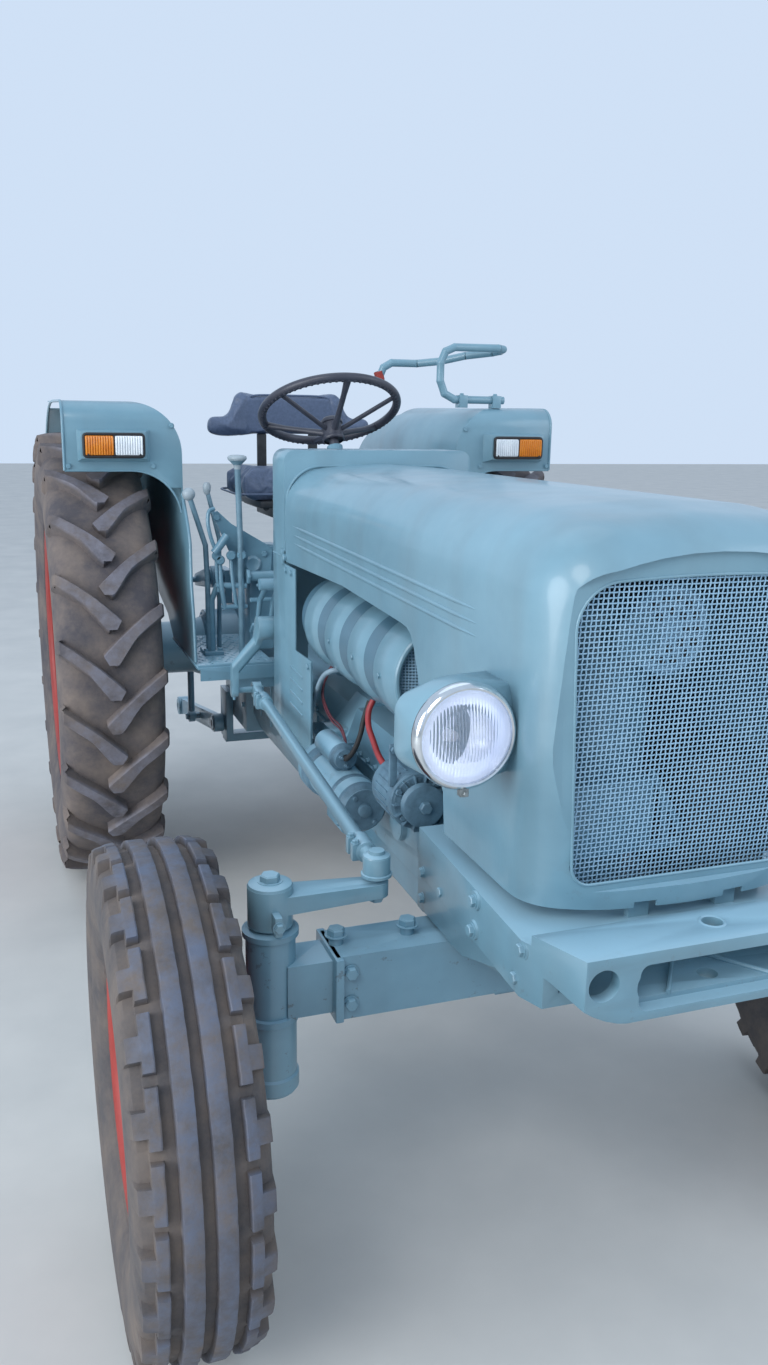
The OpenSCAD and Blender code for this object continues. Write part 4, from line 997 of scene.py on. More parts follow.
def rear_rim(s, side):
    out = Vector((s, 0, 0))
    middle = wheel_place(rear, s, REAR_WHEEL, 0, 0, 0)
    face, hub = rim_parts(middle, out, 128, REAR_SECTION, REAR_DISC, REAR_HUB)
    for i in range(8):
        for a in (45 * i + 16.5, 45 * i + 28.5):
            face.block(wheel_place(rear, s, REAR_WHEEL, -28, a, 401), (12, 20, 20), 4)
        place = wheel_place(rear, s, REAR_WHEEL, -130, 45 * i, 122)
        hub.bolt(place, out, 15, 16)
        hub.rod(place, place + out * 0.03, 8, 12, 1)
        hub.bolt(wheel_place(rear, s, REAR_WHEEL, -50, 45 * i + 22.5, 340), out, 12, 12)
    face.make("rear_rim_" + side + "_disc", RED, "rear_rim_" + side, 28, True)
    hub.make("rear_hub_" + side, CASTING_RED, "rear_rim_" + side)


for s, side in SIDES:
    front_tyre(s, side)
    rear_tyre(s, side)
    front_rim(s, side)
    rear_rim(s, side)

# Softened castings and sheet parts, in millimetres from the front axle

SOFT = {PAINT: {"bolster": 7, "cowl": 2, "fender_*": 3, "grab_rail": 2, "knuckle_*": 3, "drag_link_*": 2,
    "drop_arm_*": 3}, PAINT_LOW: {"front_axle": 5, "engine_block": 8, "starter": 3, "air_cleaner": 4,
    "gearbox": 8, "rear_axle": 6, "drawbar": 4, "steering_column": 2, "pedals": 2, "footplates": 2,
    "lift_arms": 4, "lower_link_*": 3, "lift_rod_*": 2}, CASTING: {"alternator": 2.5, "cylinders": 1.5},
    IRON: {"exhaust": 2}, BLACK_PLASTIC: {"battery": 6}, BLACK_METAL: {"seat_base": 4},
    ROD_PAINT: {"levers": 2}}


def prism_y(outline, y0, y1):
    """A cutter with an (x, z) outline between two Y values."""
    return cutter(*prism(*([front(x, y, z) for x, z in outline] for y in (y0, y1))))


def shape_bolster(obj):
    """The wide tow slot with round corners, and the nose's rounded lower corners."""
    slot = []
    for cx, cz, a in ((142, 802, 0), (-142, 802, 90), (-142, 760, 180), (142, 760, 270)):
        slot += arc_points(cx, cz, 16, a, a + 90, 6)
    cut(obj, prism_y(slot, -530, -481))
    low = [(150, 728), (172, 729.5), (192, 733), (212, 740), (232, 750), (250, 762), (268, 777), (310, 800),
        (330, 700), (150, 700)]
    for s in (-1, 1):
        cut(obj, prism_y([(s * x, z) for x, z in low], -530, -432))


def shape_cowl(obj):
    """Square upper corners with a small radius."""
    corner = [(150, 1478.6), (150, 1380), (265, 1340)] + arc_points(235, 1450, 30, 0, 90, 8)
    for s in (-1, 1):
        cut(obj, prism_y([(s * x, min(z, 1480)) for x, z in corner], 1116.2, 1239.8), operation="UNION")


SHAPING = {"bolster": shape_bolster, "cowl": shape_cowl}


def fasteners(name, node, spots, material, sides=(-1, 1)):
    """Joined bolts at (x, y, z, axis, head radius) on a node's body, once for each side."""
    parts = Parts()
    for x, y, z, axis, size in spots:
        for s in sides:
            parts.bolt((s * x, y, z), (s * axis[0], *axis[1:]), size, size * 0.7)
    parts.make(name, material, node)


def soften_all():
    for material, nodes in SOFT.items():
        for pattern, width in nodes.items():
            for _, side in SIDES if "*" in pattern else SIDES[:1]:
                node = pattern.replace("*", side)
                dress(softened(node, width, SHAPING.get(node)), material)


def rounded(points, radius, steps):
    """A closed outline with its corners rounded, radius long or less where a side is short."""
    outline = []
    for i, p in enumerate(points):
        p, a, b = Vector(p), Vector(points[i - 1]), Vector(points[(i + 1) % len(points)])
        cut_back = min(radius, (a - p).length / 2.2, (b - p).length / 2.2)
        p0, p1 = p + (a - p).normalized() * cut_back, p + (b - p).normalized() * cut_back
        outline += [p0.lerp(p, t).lerp(p.lerp(p1, t), t) for t in steps]
    return outline


def plate(parts, points, x0, x1, s):
    """A side plate between x0 and x1 with rounded corners from (y, z) points."""
    outline = rounded(points, 14.0, (0, 0.25, 0.5, 0.75, 1))
    parts.add(*prism(*([front(s * x, q.x, q.y) for q in outline] for x in (x0, x1))))


def front_casting():
    lugs = Parts()
    for s in (-1, 1):
        plate(lugs, [(-405, 738), (-190, 738), (-186, 812), (-204, 820), (-396, 820)], 272, 284, s)
        for y, z in ((-208, 752), (-372, 752), (-211, 806), (-387, 806)):
            lugs.lathe((s * 284, y, z), (s, 0, 0), [(0, 0), (17, 0), (16, 4), (0, 4)], 24)
    lugs.make("front_lugs", PAINT, "bolster")
    spots = [(288, y, z, (1, 0, 0), 10) for y, z in ((-208, 752), (-372, 752), (-211, 806), (-387, 806))]
    spots += [(271, y, z, (1, 0, 0), 9) for y, z in ((-36, 742), (56, 742), (56, 690))]
    fasteners("front_bolts", "bolster", spots, PAINT)
    ribs = Parts()
    for s in (-1, 1):
        ribs.tube([(s * x, y, 754) for x, y in ((25, -392), (55, -432), (89, -477), (93, -482))], 4, 8)
    ribs.lathe((0, -448, 838), Z, [(16, -4), (16, 0), (18.5, 1.6), (21.5, 0)], 36)
    ribs.make("tow_eye", PAINT, "bolster")


def front_axle_detail():
    hexes = Parts()
    for s in (-1, 1):
        for x in (459, 323):
            hexes.bolt((s * x, 0, 669), Z, 16.5, 13)
        hexes.box((s * 470 - 8, -66, 531), (s * 470 + 8, 66, 653), 4)
        for y, way in ((-56, -1), (56, 1)):
            for z in (622, 562):
                hexes.bolt((s * 448, y, z), (0, way, 0), 12, 9)
        for z, h in ((690, 12), (528, 14)):
            hexes.lathe((s * 579, 0, z), Z, [(44, 0), (50, 2), (50, h), (44, h + 2)], 40)
    hexes.make("axle_bolts", PAINT_LOW, "front_axle")
    for s, side in SIDES:
        cap = Parts()
        cap.lathe((s * 579, 0, 781), Z, [(40, 0), (38, 5), (30, 8), (19, 9), (0, 9)], 40)
        cap.bolt((s * 579, 0, 789), Z, 18, 12)
        cap.box((s * 579 - 7, -64, 712), (s * 579 + 7, -30, 748), 3)
        cap.bolt((s * 579, -64, 730), AHEAD, 9, 6)
        cap.bolt((s * 384, 0, 737), (0, 0, -1), 14, 10)
        cap.lathe((s * 579, 0, 392), Z, [(46, 0), (50, 4), (50, 30), (46, 34)], 40)
        for y, z in circle(34, 4, 45):
            cap.bolt((s * 627, y, 430 + z), (s, 0, 0), 7, 5)
        cap.make("knuckle_cap_" + side, PAINT, "knuckle_" + side)
        link = Parts()
        link.lathe((s * 384, 0, 811), Z, [(25, 0), (24, 3), (15, 6), (14, 12), (0, 13)])
        link.lathe((s * 384, 0, 775), Z, [(25, -1), (28, 0), (28, 5), (25, 6)])
        a, b = front(s * 384, 0, 790), front(s * 308, 1280, 800)
        run = (b - a).normalized()
        for t in (0.095, 1.15):
            link.lathe(a + run * (t - 0.03), run, [(15, 0), (20, 2), (20, 58), (15, 60)], 28)
            for d in (-0.017, 0.017):
                spot = a + run * (t + d) + offset(s * 19, 0, 0)
                link.block(spot, (8, 8, 16), 2)
                link.bolt(spot + offset(0, 0, 16), Z, 7, 6)
        link.make("link_clamps_" + side, PAINT, "drag_link_" + side)


soften_all()
front_casting()
front_axle_detail()

# Engine

FAN = (-150, 1060)
PITCH_Y = 178


def fan_detail():
    """Rings, wire mesh and clips of the air duct along the right side."""
    cx, cz = FAN
    duct = Parts()
    profile = [(0, 40), (98, 40), (98, 1), (100, -2), (108, -2), (111, 1)]
    for k in range(4):
        profile += [(r, PITCH_Y * k + d) for r, d in ((116.5, 26), (119, 34), (120, 44), (120, 98),
            (118.5, 104), (115, 108), (100, 118), (97, 132), (99, 150), (110.5, 190.5))]
    duct.lathe((cx, 265, cz), Y, profile[:-1] + [(101, 726), (0, 726)], 96)
    obj = duct.make("fan_duct", PAINT, None, 40)
    obj.data.materials.append(GROOVE_PAINTED_SHADE)
    cut(obj, box_cutter((-95.3, 200, 900), (40, 1100, 1200)))
    # Faces in the recessed grooves take the darker paint as painted shade.
    for face in obj.data.polygons:
        spot = (face.center - front(cx, 265, cz)) / MM
        in_groove = spot.y % PITCH_Y > 105 or spot.y % PITCH_Y < 12
        if math.hypot(spot.x, spot.z) < 117.5 and spot.y > 30 and in_groove:
            face.material_index = 1
    shade(obj, 40)
    ride(obj, "fan_casing", True)
    rings = Parts()
    open_side = [math.radians(62 + 236 * i / 60) for i in range(61)]
    rings.tube([(cx + 104 * math.cos(a), 265, cz + 104 * math.sin(a)) for a in open_side], 7)
    for k in range(1, 4):
        for t in (math.radians(a) for a in (100, 180, 258)):
            out = (math.cos(t), 0, math.sin(t))
            rings.bolt((cx + 119 * out[0], 147 + PITCH_Y * k, cz + 119 * out[2]), out, 6, 4)
    rings.make("fan_rings", PAINT, "fan_casing")
    wires = Parts()
    radius, flat = 98, 54
    for way, c in ((way, 6.3 * i) for way in (0, 1) for i in range(-15, 16)):
        half = math.sqrt(radius**2 - c * c)
        low, high = -half, half if way else min(half, flat)
        if high <= low or (way and c > flat):
            continue
        points = []
        for t in (0, 0.2, 0.4, 0.6, 0.8, 1):
            run = low + (high - low) * t
            u, w = (c, run) if way else (run, c)
            dome = 22 * (1 - (u * u + w * w) / radius**2)
            points.append((cx + u, 280 - dome + way * 1.6, cz + w))
        wires.tube(points, 1.2, 5)
    wires.make("fan_mesh", GRILLE_PAINT, "fan_casing")


def starter_detail():
    parts = Parts()
    at = front(-250, 468, 716)
    parts.lathe(at, AHEAD, [(55, -30), (57.5, -28), (57.5, -16), (50, -4), (47, 1), (16, 2), (14.5, 12),
        (9, 14), (0, 14)], 48)
    for x, z in circle(38, 4, 38):
        parts.bolt(at + offset(x, -1, z), AHEAD, 5.5, 5)
    parts.lathe((-250, 540, 716), Y, [(55, 0), (57.5, 3), (57.5, 15), (55, 18)], 48)
    parts.lathe((-250, 730, 716), Y, [(55, 0), (62, 5), (64, 40), (55, 50)], 48)
    parts.lathe((-258, 600, 798), AHEAD, [(30, -12), (33, -10), (33, 0), (26, 4), (24, 16), (0, 18)], 36)
    for x, z in ((-270, 806), (-246, 806), (-258, 785)):
        parts.rod((x, 583, z), (x, 569, z), 3.2, 12)
        parts.bolt((x, 583, z), AHEAD, 6, 5)
    parts.make("starter_cap", CASTING, "starter")
    housing = Parts()
    for s in (-1, 1):
        out = (s, 0, 0)
        plate(housing, [(845, 632), (1012, 640), (1025, 764), (930, 790), (845, 792)], 168, 213, s)
        for y, z in ((983, 747), (940, 669), (870, 765), (870, 660), (1000, 665)):
            housing.bolt((s * 213, y, z), out, 10.5, 8)
        for y in (260, 430, 600, 760):
            housing.lathe((s * 187, y, 690), out, [(36, 0), (36, 2), (30, 5), (0, 6)], 28)
        for y in range(110, 771, 55):
            housing.bolt((s * 110, y, 530), out, 7, 5)
            housing.bolt((s * 176, y, 765), out, 7, 5)
        housing.box((s * 176 - 4, 100, 752), (s * 176 + 4, 815, 757), 1)
    housing.make("crankcase_bolts", PAINT_LOW, "engine_block")


def alternator_detail():
    parts = Parts()
    at = front(-225, 205, 826)
    parts.lathe(at, AHEAD, [(58, -20), (59.5, -18), (59.5, -6), (52, 1), (28, 4), (20, 8), (0, 8)], 48)
    parts.fan(at, "Y", 12, (-3.5, -5, 28), (3.5, 1, 50), 1)
    parts.fan(at, "Y", 24, (-1.6, 30, 56), (1.6, 100, 60.5), 0.5)
    parts.fan(at, "Y", 14, (36, -12, -1.5), (57, 0, 1.5), 0.5)
    parts.lathe(at, AHEAD, [(20, 0), (50, 0), (52, 1.5), (20, 3)], 40)
    parts.lathe((-225, 171, 826), AHEAD, [(42, -22), (43.5, -20.5), (43.5, -19.5), (36, -11), (43.5, -2.5),
        (43.5, -1), (41, 0), (24, 1), (0, 1)], 48)
    parts.bolt((-225, 171, 826), AHEAD, 13, 12)
    for x, z in ((-270, 852), (-260, 797), (-203, 770), (-190, 862)):
        parts.bolt((x, 202, z), AHEAD, 7)
    parts.box((-284, 214, 858), (-268, 224, 946), 3)
    parts.bolt((-276, 214, 936), AHEAD, 8)
    parts.make("alternator_detail", CASTING, "alternator")


def head_detail():
    """Rocker covers with their bolts, head bolts, manifold nuts and fins."""
    parts = Parts()
    for y in (200, 372, 544, 716):
        parts.box((-76, y - 66, 1222), (76, y + 66, 1240), 6)
        for wide, long, z, size, head in ((66, 54, 1240, 8, 7), (84, 56, 1180, 9, 30)):
            for dx in (-wide, wide):
                for dy in (-long, long):
                    parts.bolt((dx, y + dy, z), Z, size, head)
        for z in (1056, 1124):
            parts.bolt((97, y, z), (1, 0, 0), 8, 10)
        for z in range(1076, 1187, 22):
            parts.box((-98, y - 74, z), (98, y + 74, z + 4), 1)
    parts.make("head_detail", CASTING, "cylinders")


def behind_grille():
    parts = Parts()
    parts.lathe((-70, -170, 1290), Z, [(90, -30), (94, -26), (94, -6), (80, 4), (30, 12), (0, 12)], 48)
    for z in (1010, 1200):
        parts.lathe((-70, -170, z), Z, [(90, 0), (92.5, 2), (92.5, 18), (90, 20)], 48)
    parts.fan(front(-70, -170, 1100), "Z", 20, (88, -3, -80), (91.5, 3, 90), 1)
    parts.box((-175, -300, 897), (-19, -224, 1022), 6)
    parts.rod((-22, -290, 1030), (52, -290, 905), 6, 12)
    parts.rod((2, -290, 985), (14, -290, 905), 6, 12)
    parts.box((-20, -296, 897), (98, -284, 909), 3)
    parts.lathe((122, -100, 1216), AHEAD, [(30, 0), (81, 0), (84, 4), (84, 16), (74, 20), (30, 12),
        (0, 12)], 48)
    parts.rod((122, -110, 1216), (122, 128, 1216), 26, 24)
    parts.make("air_filter_detail", PAINT_LOW, "air_cleaner")
    cap = Parts()
    cap.lathe((-9, -290, 1259), AHEAD, [(0, -20), (70, -20), (72, -16), (72, -4), (68, 0), (58, -3),
        (20, 1), (0, 1)], 48)
    cap.rod((-9, -272, 1259), (-44, -190, 1259), 30, 24)
    cap.make("air_filter_cap", GRILLE_PAINT, "air_cleaner")
    # Dark discs in the cap's perforations: painted shade inside the holes.
    hole_shade = Parts()
    for x, z in circle(30, 8) + circle(50, 14):
        hole_shade.rod((x - 9, -285, 1259 + z), (x - 9, -293, 1259 + z), 6, 12)
    hole_shade.make("air_filter_cap_hole_shade", BLACK_METAL, "air_cleaner")
    # Dark sheets behind the grille, with their bolts: painted shade inside the hood.
    shade_sheets = Parts()
    for x0, x1, z0, z1 in ((98, 264, 856, 1356), (-98, 98, 1236, 1400), (-256, -96, 1186, 1356)):
        shade_sheets.box((x0, 100, z0), (x1, 106, z1))
        for x in (x0 + 14, x1 - 14):
            for z in (z0 + 16, z1 - 16):
                shade_sheets.bolt((x, 100, z), AHEAD, 7, 5)
    shade_sheets.box((98, 106, 856), (104, 140, 1356))
    shade_sheets.box((170, 0, 940), (264, 6, 1120))
    shade_sheets.box((258, 6, 940), (264, 104, 1120))
    shade_sheets.make("painted_shade_sheets", INSIDE_PAINTED_SHADE, "bolster")
    caps = Parts()
    for k in range(6):
        caps.lathe((120, -285 + 22 * k, 1050), Z, [(0, 0), (9, 0), (9, 6), (6, 8), (0, 8)], 18)
    caps.box((38, -312, 1036), (202, -148, 1046), 3)
    caps.make("battery_caps", BLACK_PLASTIC, "battery")


def cable(name, points, diameter, material, node):
    """A short lead along a smooth path, capped at both ends."""
    path = smooth_path(points)
    tube = Parts()
    tube.tube(path, diameter / 2)
    obj = tube.make(name, material, node, 60)
    length = sum((b - a).length for a, b in zip(path, path[1:]))
    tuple(path[0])


def cables():
    cable("charge_lead", [(-212, 324, 842), (-216, 345, 838), (-226, 385, 838), (-232, 425, 852),
        (-231, 470, 876), (-229, 508, 898), (-222, 530, 925), (-210, 535, 950)], 14, RED_RUBBER, "starter")
    cable("starter_lead", [(-258, 583, 806), (-262, 566, 806), (-250, 548, 830), (-238, 540, 868),
        (-228, 545, 905), (-214, 548, 945)], 12, BLACK_RUBBER, "starter")
    for k, d in enumerate((0, 9)):
        cable("sender_wire_%d" % k, [(-212, 838 + d, 962), (-225, 841 + d, 938), (-227, 884 - d, 887),
            (-227, 866 - d, 852 + d), (-227, 801, 831 + d), (-229, 719, 831 + d), (-234, 667, 819 + d),
            (-242, 632, 812 + d)], 5, DARK_RED, "starter")
    cable("conduit", [(-212, 770, 968), (-238, 780, 962), (-245, 820, 938), (-246, 880, 880),
        (-246, 920, 820), (-246, 938, 760), (-246, 932, 690), (-215, 925, 655)], 13, GREY_RUBBER,
        "engine_block")


fan_detail()
starter_detail()
alternator_detail()
head_detail()
behind_grille()
cables()

# Cowl, fenders, seat and controls


def cowl_detail():
    parts = Parts()
    for s in (-1, 1):
        out = (s, 0, 0)
        turn = Matrix.Rotation(math.radians(3), 3, "X")
        for z in (913, 880, 846, 812):
            middle = front(s * 265.5, 995, z)
            parts.box(middle - offset(2, 60, 4), middle + offset(2, 60, 3), 2, turn)
        for y, z in ((872, 955), (872, 730), (1095, 730), (1040, 1168), (1095, 1168)):
            parts.bolt((s * 265, y, z), out, 8)
        for z in (1212, 1188):
            parts.box((s * 265 - 7, 1116, z - 8), (s * 265 + 7, 1144, z + 8), 3)
        parts.rod((s * 262, 1110, 1200), (s * 273, 1110, 1200), 9, 20, 2)
        parts.tube([(s * 265, y, 1200) for y in (1118, 1160, 1200, 1238)], 2.2, 8)
        parts.tube([(s * 265, 857, z) for z in (714, 800, 900, 968)], 3, 8)
        parts.tube([(s * 265, y, 713) for y in (857, 950, 1110)], 3, 8)
    lip = [(-255, 1200), (-256, 1325)] + arc_points(-165, 1340, 92, 176, 92)
    lip += arc_points(165, 1340, 92, 88, 4) + [(256, 1325), (255, 1200)]
    parts.tube([(x, 1117, z + 6) for x, z in lip], 4.5)
    parts.make("cowl_trim", PAINT, "cowl")
    dash = Parts()
    dash.box((-150, 1236, 1290), (150, 1246, 1440), 6)
    for x in (-95, 0, 95):
        dash.lathe((x, 1245, 1385), Y, [(42, 0), (46, 4), (42, 11), (36, 8), (0, 6)], 40)
    for x in (-100, -50, 0, 50, 100):
        dash.rod((x, 1244, 1315), (x, 1262, 1315), 9, 18, 3)
    dash.make("dash", BLACK_METAL, "cowl")


def corner_lamps():
    """Two-colour lamps in dark frames on the fender fronts."""
    amber, white, frames = Parts(), Parts(), Parts()
    low, high, flutes = 1441, 1505, 11
    for s in (-1, 1):
        for parts, x0, x1 in ((white, 566, 645), (amber, 649, 729)):
            a, b = sorted((s * x0, s * x1))
            parts.box((a, 1590, low + 4), (b, 1599, high - 4), 4)
            for k in range(flutes):
                x = s * (x0 + (k + 0.5) * (x1 - x0) / flutes)
                parts.tube([(x, y, z) for y, z in ((1590.5, low + 7), (1588.4, low + 12),
                    (1588, (low + high) / 2), (1588.4, high - 12), (1590.5, high - 7))], 3.4, 8)
        outline = rounded([(563, low), (732, low), (732, high), (563, high)], 9, (0, 0.33, 0.67, 1))
        frames.tube([(s * q.x, 1595, q.y) for q in outline], 4.5, closed=True)
        a, b = sorted((s * 563, s * 732))
        frames.box((a, 1594, low), (b, 1599.6, high), 3)
        frames.box((s * 647 - 2.5, 1588, 1443), (s * 647 + 2.5, 1598, 1503), 1)
        for x in (574, 721):
            frames.bolt((s * x, 1589, 1447), AHEAD, 3.5, 2, 0)
    for name, parts, material in (("amber", amber, AMBER), ("white", white, LAMP_WHITE),
            ("frame", frames, BLACK_PLASTIC)):
        parts.make("fender_lamps_" + name, material, "fender_lamps", 40, True)


def fender_detail():
    spots = [(x, 1640, z, AHEAD, 7) for x, z in ((475, 1530), (532, 1412), (775, 1412))]
    spots += [(445, y, z, (-1, 0, 0), 8) for y, z in ((1700, 1390), (1800, 1300), (1950, 1250),
        (2250, 1250), (1560, 900))]
    left_only = [(486, 1702, 1638, Z, 7), (606, 1702, 1638, Z, 7)]
    for s, side in SIDES:
        here = spots + (left_only if s > 0 else [])
        fasteners("fender_bolts_" + side, "fender_" + side, here, PAINT, (s,))
        trim = Parts()
        trim.tube([(s * 447, y, z) for y, z in ((1474, 845), (1488, 956), (1520, 1073), (1523, 1194),
            (1552, 1239), (1640, 1330))], 5)
        rim = [(1641, z) for z in (1400, 1440, 1490, 1530)]
        rim += [(1700 - 60 * math.cos(a), 1537 + 59 * math.sin(a)) for a in map(math.radians,
            range(15, 91, 15))]
        rim += [(y, 1596.5) for y in (1800, 1950, 2100)]
        rim += [(2150 + 845 * math.sin(a), 750 + 845 * math.cos(a)) for a in map(math.radians,
            range(5, 72, 6))]
        trim.tube([(s * 786, y, z) for y, z in rim], 4.5)
        hem = [(786, 1399), (700, 1399)] + arc_points(595, 1253, 146, 90, 172)
        trim.tube([(s * x, 1642, z) for x, z in hem], 3.5, 8)
        bead = [(s * 445.5, 1860 + 92 * math.copysign(abs(c) ** 0.6, c), 1340 + 34 * w)
            for c, w in circle(1, 32)]
        trim.tube(bead, 2.2, 6, closed=True)
        trim.make("fender_trim_" + side, PAINT, "fender_" + side, 50)


VOXEL = 0.006
SWELL_FRAMES = 20


def padded_piece(name, verts, faces, cap, low=None):
    """A stuffed cover: the closed form is remeshed, swollen by pressure and held within cap of its start."""
    obj = add_mesh(name, verts, faces, VINYL, 60)
    modify(obj, "REMESH", mode="VOXEL", voxel_size=VOXEL)
    modify(obj, "SMOOTH", factor=0.7, iterations=6)
    apply_modifiers(obj)
    start = [v.co.copy() for v in obj.data.vertices]
    cloth = modify(obj, "CLOTH")
    cloth.settings.use_pressure = True
    cloth.settings.uniform_pressure_force = 4
    cloth.settings.effector_weights.gravity = 0
    cloth.point_cache.frame_start = 1
    cloth.point_cache.frame_end = SWELL_FRAMES
    for step in range(1, SWELL_FRAMES + 1):
        scene.frame_set(step)
    apply_modifiers(obj)
    for v, was in zip(obj.data.vertices, start):
        move = v.co - was
        if move.length > cap:
            v.co = was + move.normalized() * cap
    scene.frame_set(1)
    if low is not None:
        for v in obj.data.vertices:
            v.co.z = max(v.co.z, low)
    modify(obj, "SUBSURF", levels=1)
    apply_modifiers(obj)
    shade(obj, 80)
    ride(obj, "seat", True)


def grid_form(columns, rows, place):
    """A closed form from two crowned faces: place(u, v, side) gives a point for u and v from -1 to 1."""
    verts = [place(-1 + 2 * i / columns, -1 + 2 * j / rows, side) for side in (1, -1)
        for j in range(rows + 1) for i in range(columns + 1)]
    step = columns + 1
    half = step * (rows + 1)
    faces = []
    for a in (j * step + i for j in range(rows) for i in range(columns)):
        faces.append([a, a + 1, a + step + 1, a + step])
        faces.append([half + k for k in (a, a + step, a + step + 1, a + 1)])
    edge = list(range(step)) + [j * step + columns for j in range(1, rows + 1)]
    edge += [rows * step + i for i in range(columns - 1, -1, -1)] + [j * step for j in range(rows - 1, 0,
        -1)]
    for a, b in zip(edge, edge[1:] + edge[:1]):
        faces.append([b, a, half + a, half + b])
    return verts, faces


# Half the width of the seat's back at a height above the seat
SEAT_BACK = [(168, 226), (175, 276), (185, 296), (206, 301), (228, 299), (240, 290), (248, 264), (257, 242),
    (270, 229), (296, 214), (318, 202), (332, 192), (342, 176)]
SEAT_TOP = 1310


def squarish(x, y, power):
    """The points of a ring between an ellipse and a rectangle."""
    return [(x * math.copysign(abs(a) ** power, a), y * math.copysign(abs(b) ** power, b))
        for a, b in circle(1, 64)]


def seat():
    def cushion(u, v, side):
        x = 232 * u * (0.97 + 0.03 * v * v)
        y = 1942 + 150 * v * (1 - 0.02 * (1 - u * u))
        lift = 10 * max(0.0, abs(u) - 0.62) / 0.38
        return front(x, y, SEAT_TOP + (56 + lift + 6 * (1 - v * v) if side > 0 else 0))

    def back(u, v, side):
        z = 168 + 174 * (v + 1) / 2
        x = (level(SEAT_BACK, z) - 10) * u
        wrap = 46 * max(0.0, abs(x) - 150) / 150
        y = 2106 - wrap + (-20 + 8 * (1 - u * u) if side > 0 else 26)
        return front(x, y, SEAT_TOP + z + (6 if v < 0 else -6) * abs(v) ** 6)

    padded_piece("seat_cushion", *grid_form(30, 18, cushion), 0.024, 1.2935)
    padded_piece("seat_back", *grid_form(44, 22, back), 0.016)
    welt = Parts()
    welt.tube([(x, 1942 + y, SEAT_TOP + 5) for x, y in squarish(247, 160, 0.22)], 3.5, 8, closed=True)
    welt.tube([(x, 2080, SEAT_TOP + 262 + z) for x, z in squarish(150, 58, 0.3)], 3.5, 8, closed=True)
    welt.make("seat_welt", VINYL, "seat", 60, True)
    bracket = Parts()
    for x in (-92, 92):
        bracket.box((x - 16, 2096, SEAT_TOP - 4), (x + 16, 2114, SEAT_TOP + 190), 4)
    bracket.box((-150, 2112, SEAT_TOP + 190), (150, 2124, SEAT_TOP + 300), 6)
    for x in (-92, 92):
        for z in (20, 60, 175):
            bracket.bolt((x, 2114, SEAT_TOP + z), Y, 9, 7)
    bracket.make("seat_bracket", BLACK_METAL, "seat", replaces=True)
    springs = Parts()
    for k in range(5):
        x, z = -58 + 116 * (k % 2), 1080 + 34 * k
        springs.tube([(x, 1950, z), (-x, 1950, z + 34)], 9, 12)
    for x in (-150, 150):
        springs.rod((x, 1800, 1272), (x, 2100, 1272), 11, 18, 2)
    springs.make("seat_frame", BLACK_METAL, "seat_base")


def steering_wheel_detail():
    tilt = math.radians(27)
    axis = Vector((0, math.sin(tilt), math.cos(tilt)))
    turn = axis_frame(axis)
    hub = front(0, 1280 + 678 * axis.y, 978 + 678 * axis.z)
    parts = Parts()

    def spot(along, out=(0, 0), reach=0):
        return hub + axis * along * MM + turn @ Vector((*out, 0)) * reach * MM

    parts.lathe(spot(-45), axis, [(30, -2), (34, 0), (34, 8), (27, 16), (12, 20), (0, 20)], 40)
    parts.lathe(spot(-100), axis, [(30, 0), (33, 3), (33, 10), (30, 13)], 40)
    for out in circle(1, 3, 90):
        spoke = [spot(along, out, reach) for along, reach in ((-70, 25), (-46, 90), (-24, 150), (-2, 203))]
        parts.tube(spoke, [11, 8.5, 8.5, 11.5], 14)
    for out in circle(1, 72):
        parts.lathe(spot(-11.5, out, 207), axis, [(0, -4.2), (4.2, -3), (6, 0), (0, 3)], 8)
    parts.make("steering_wheel_grips", BROWN, "steering_wheel", 45)


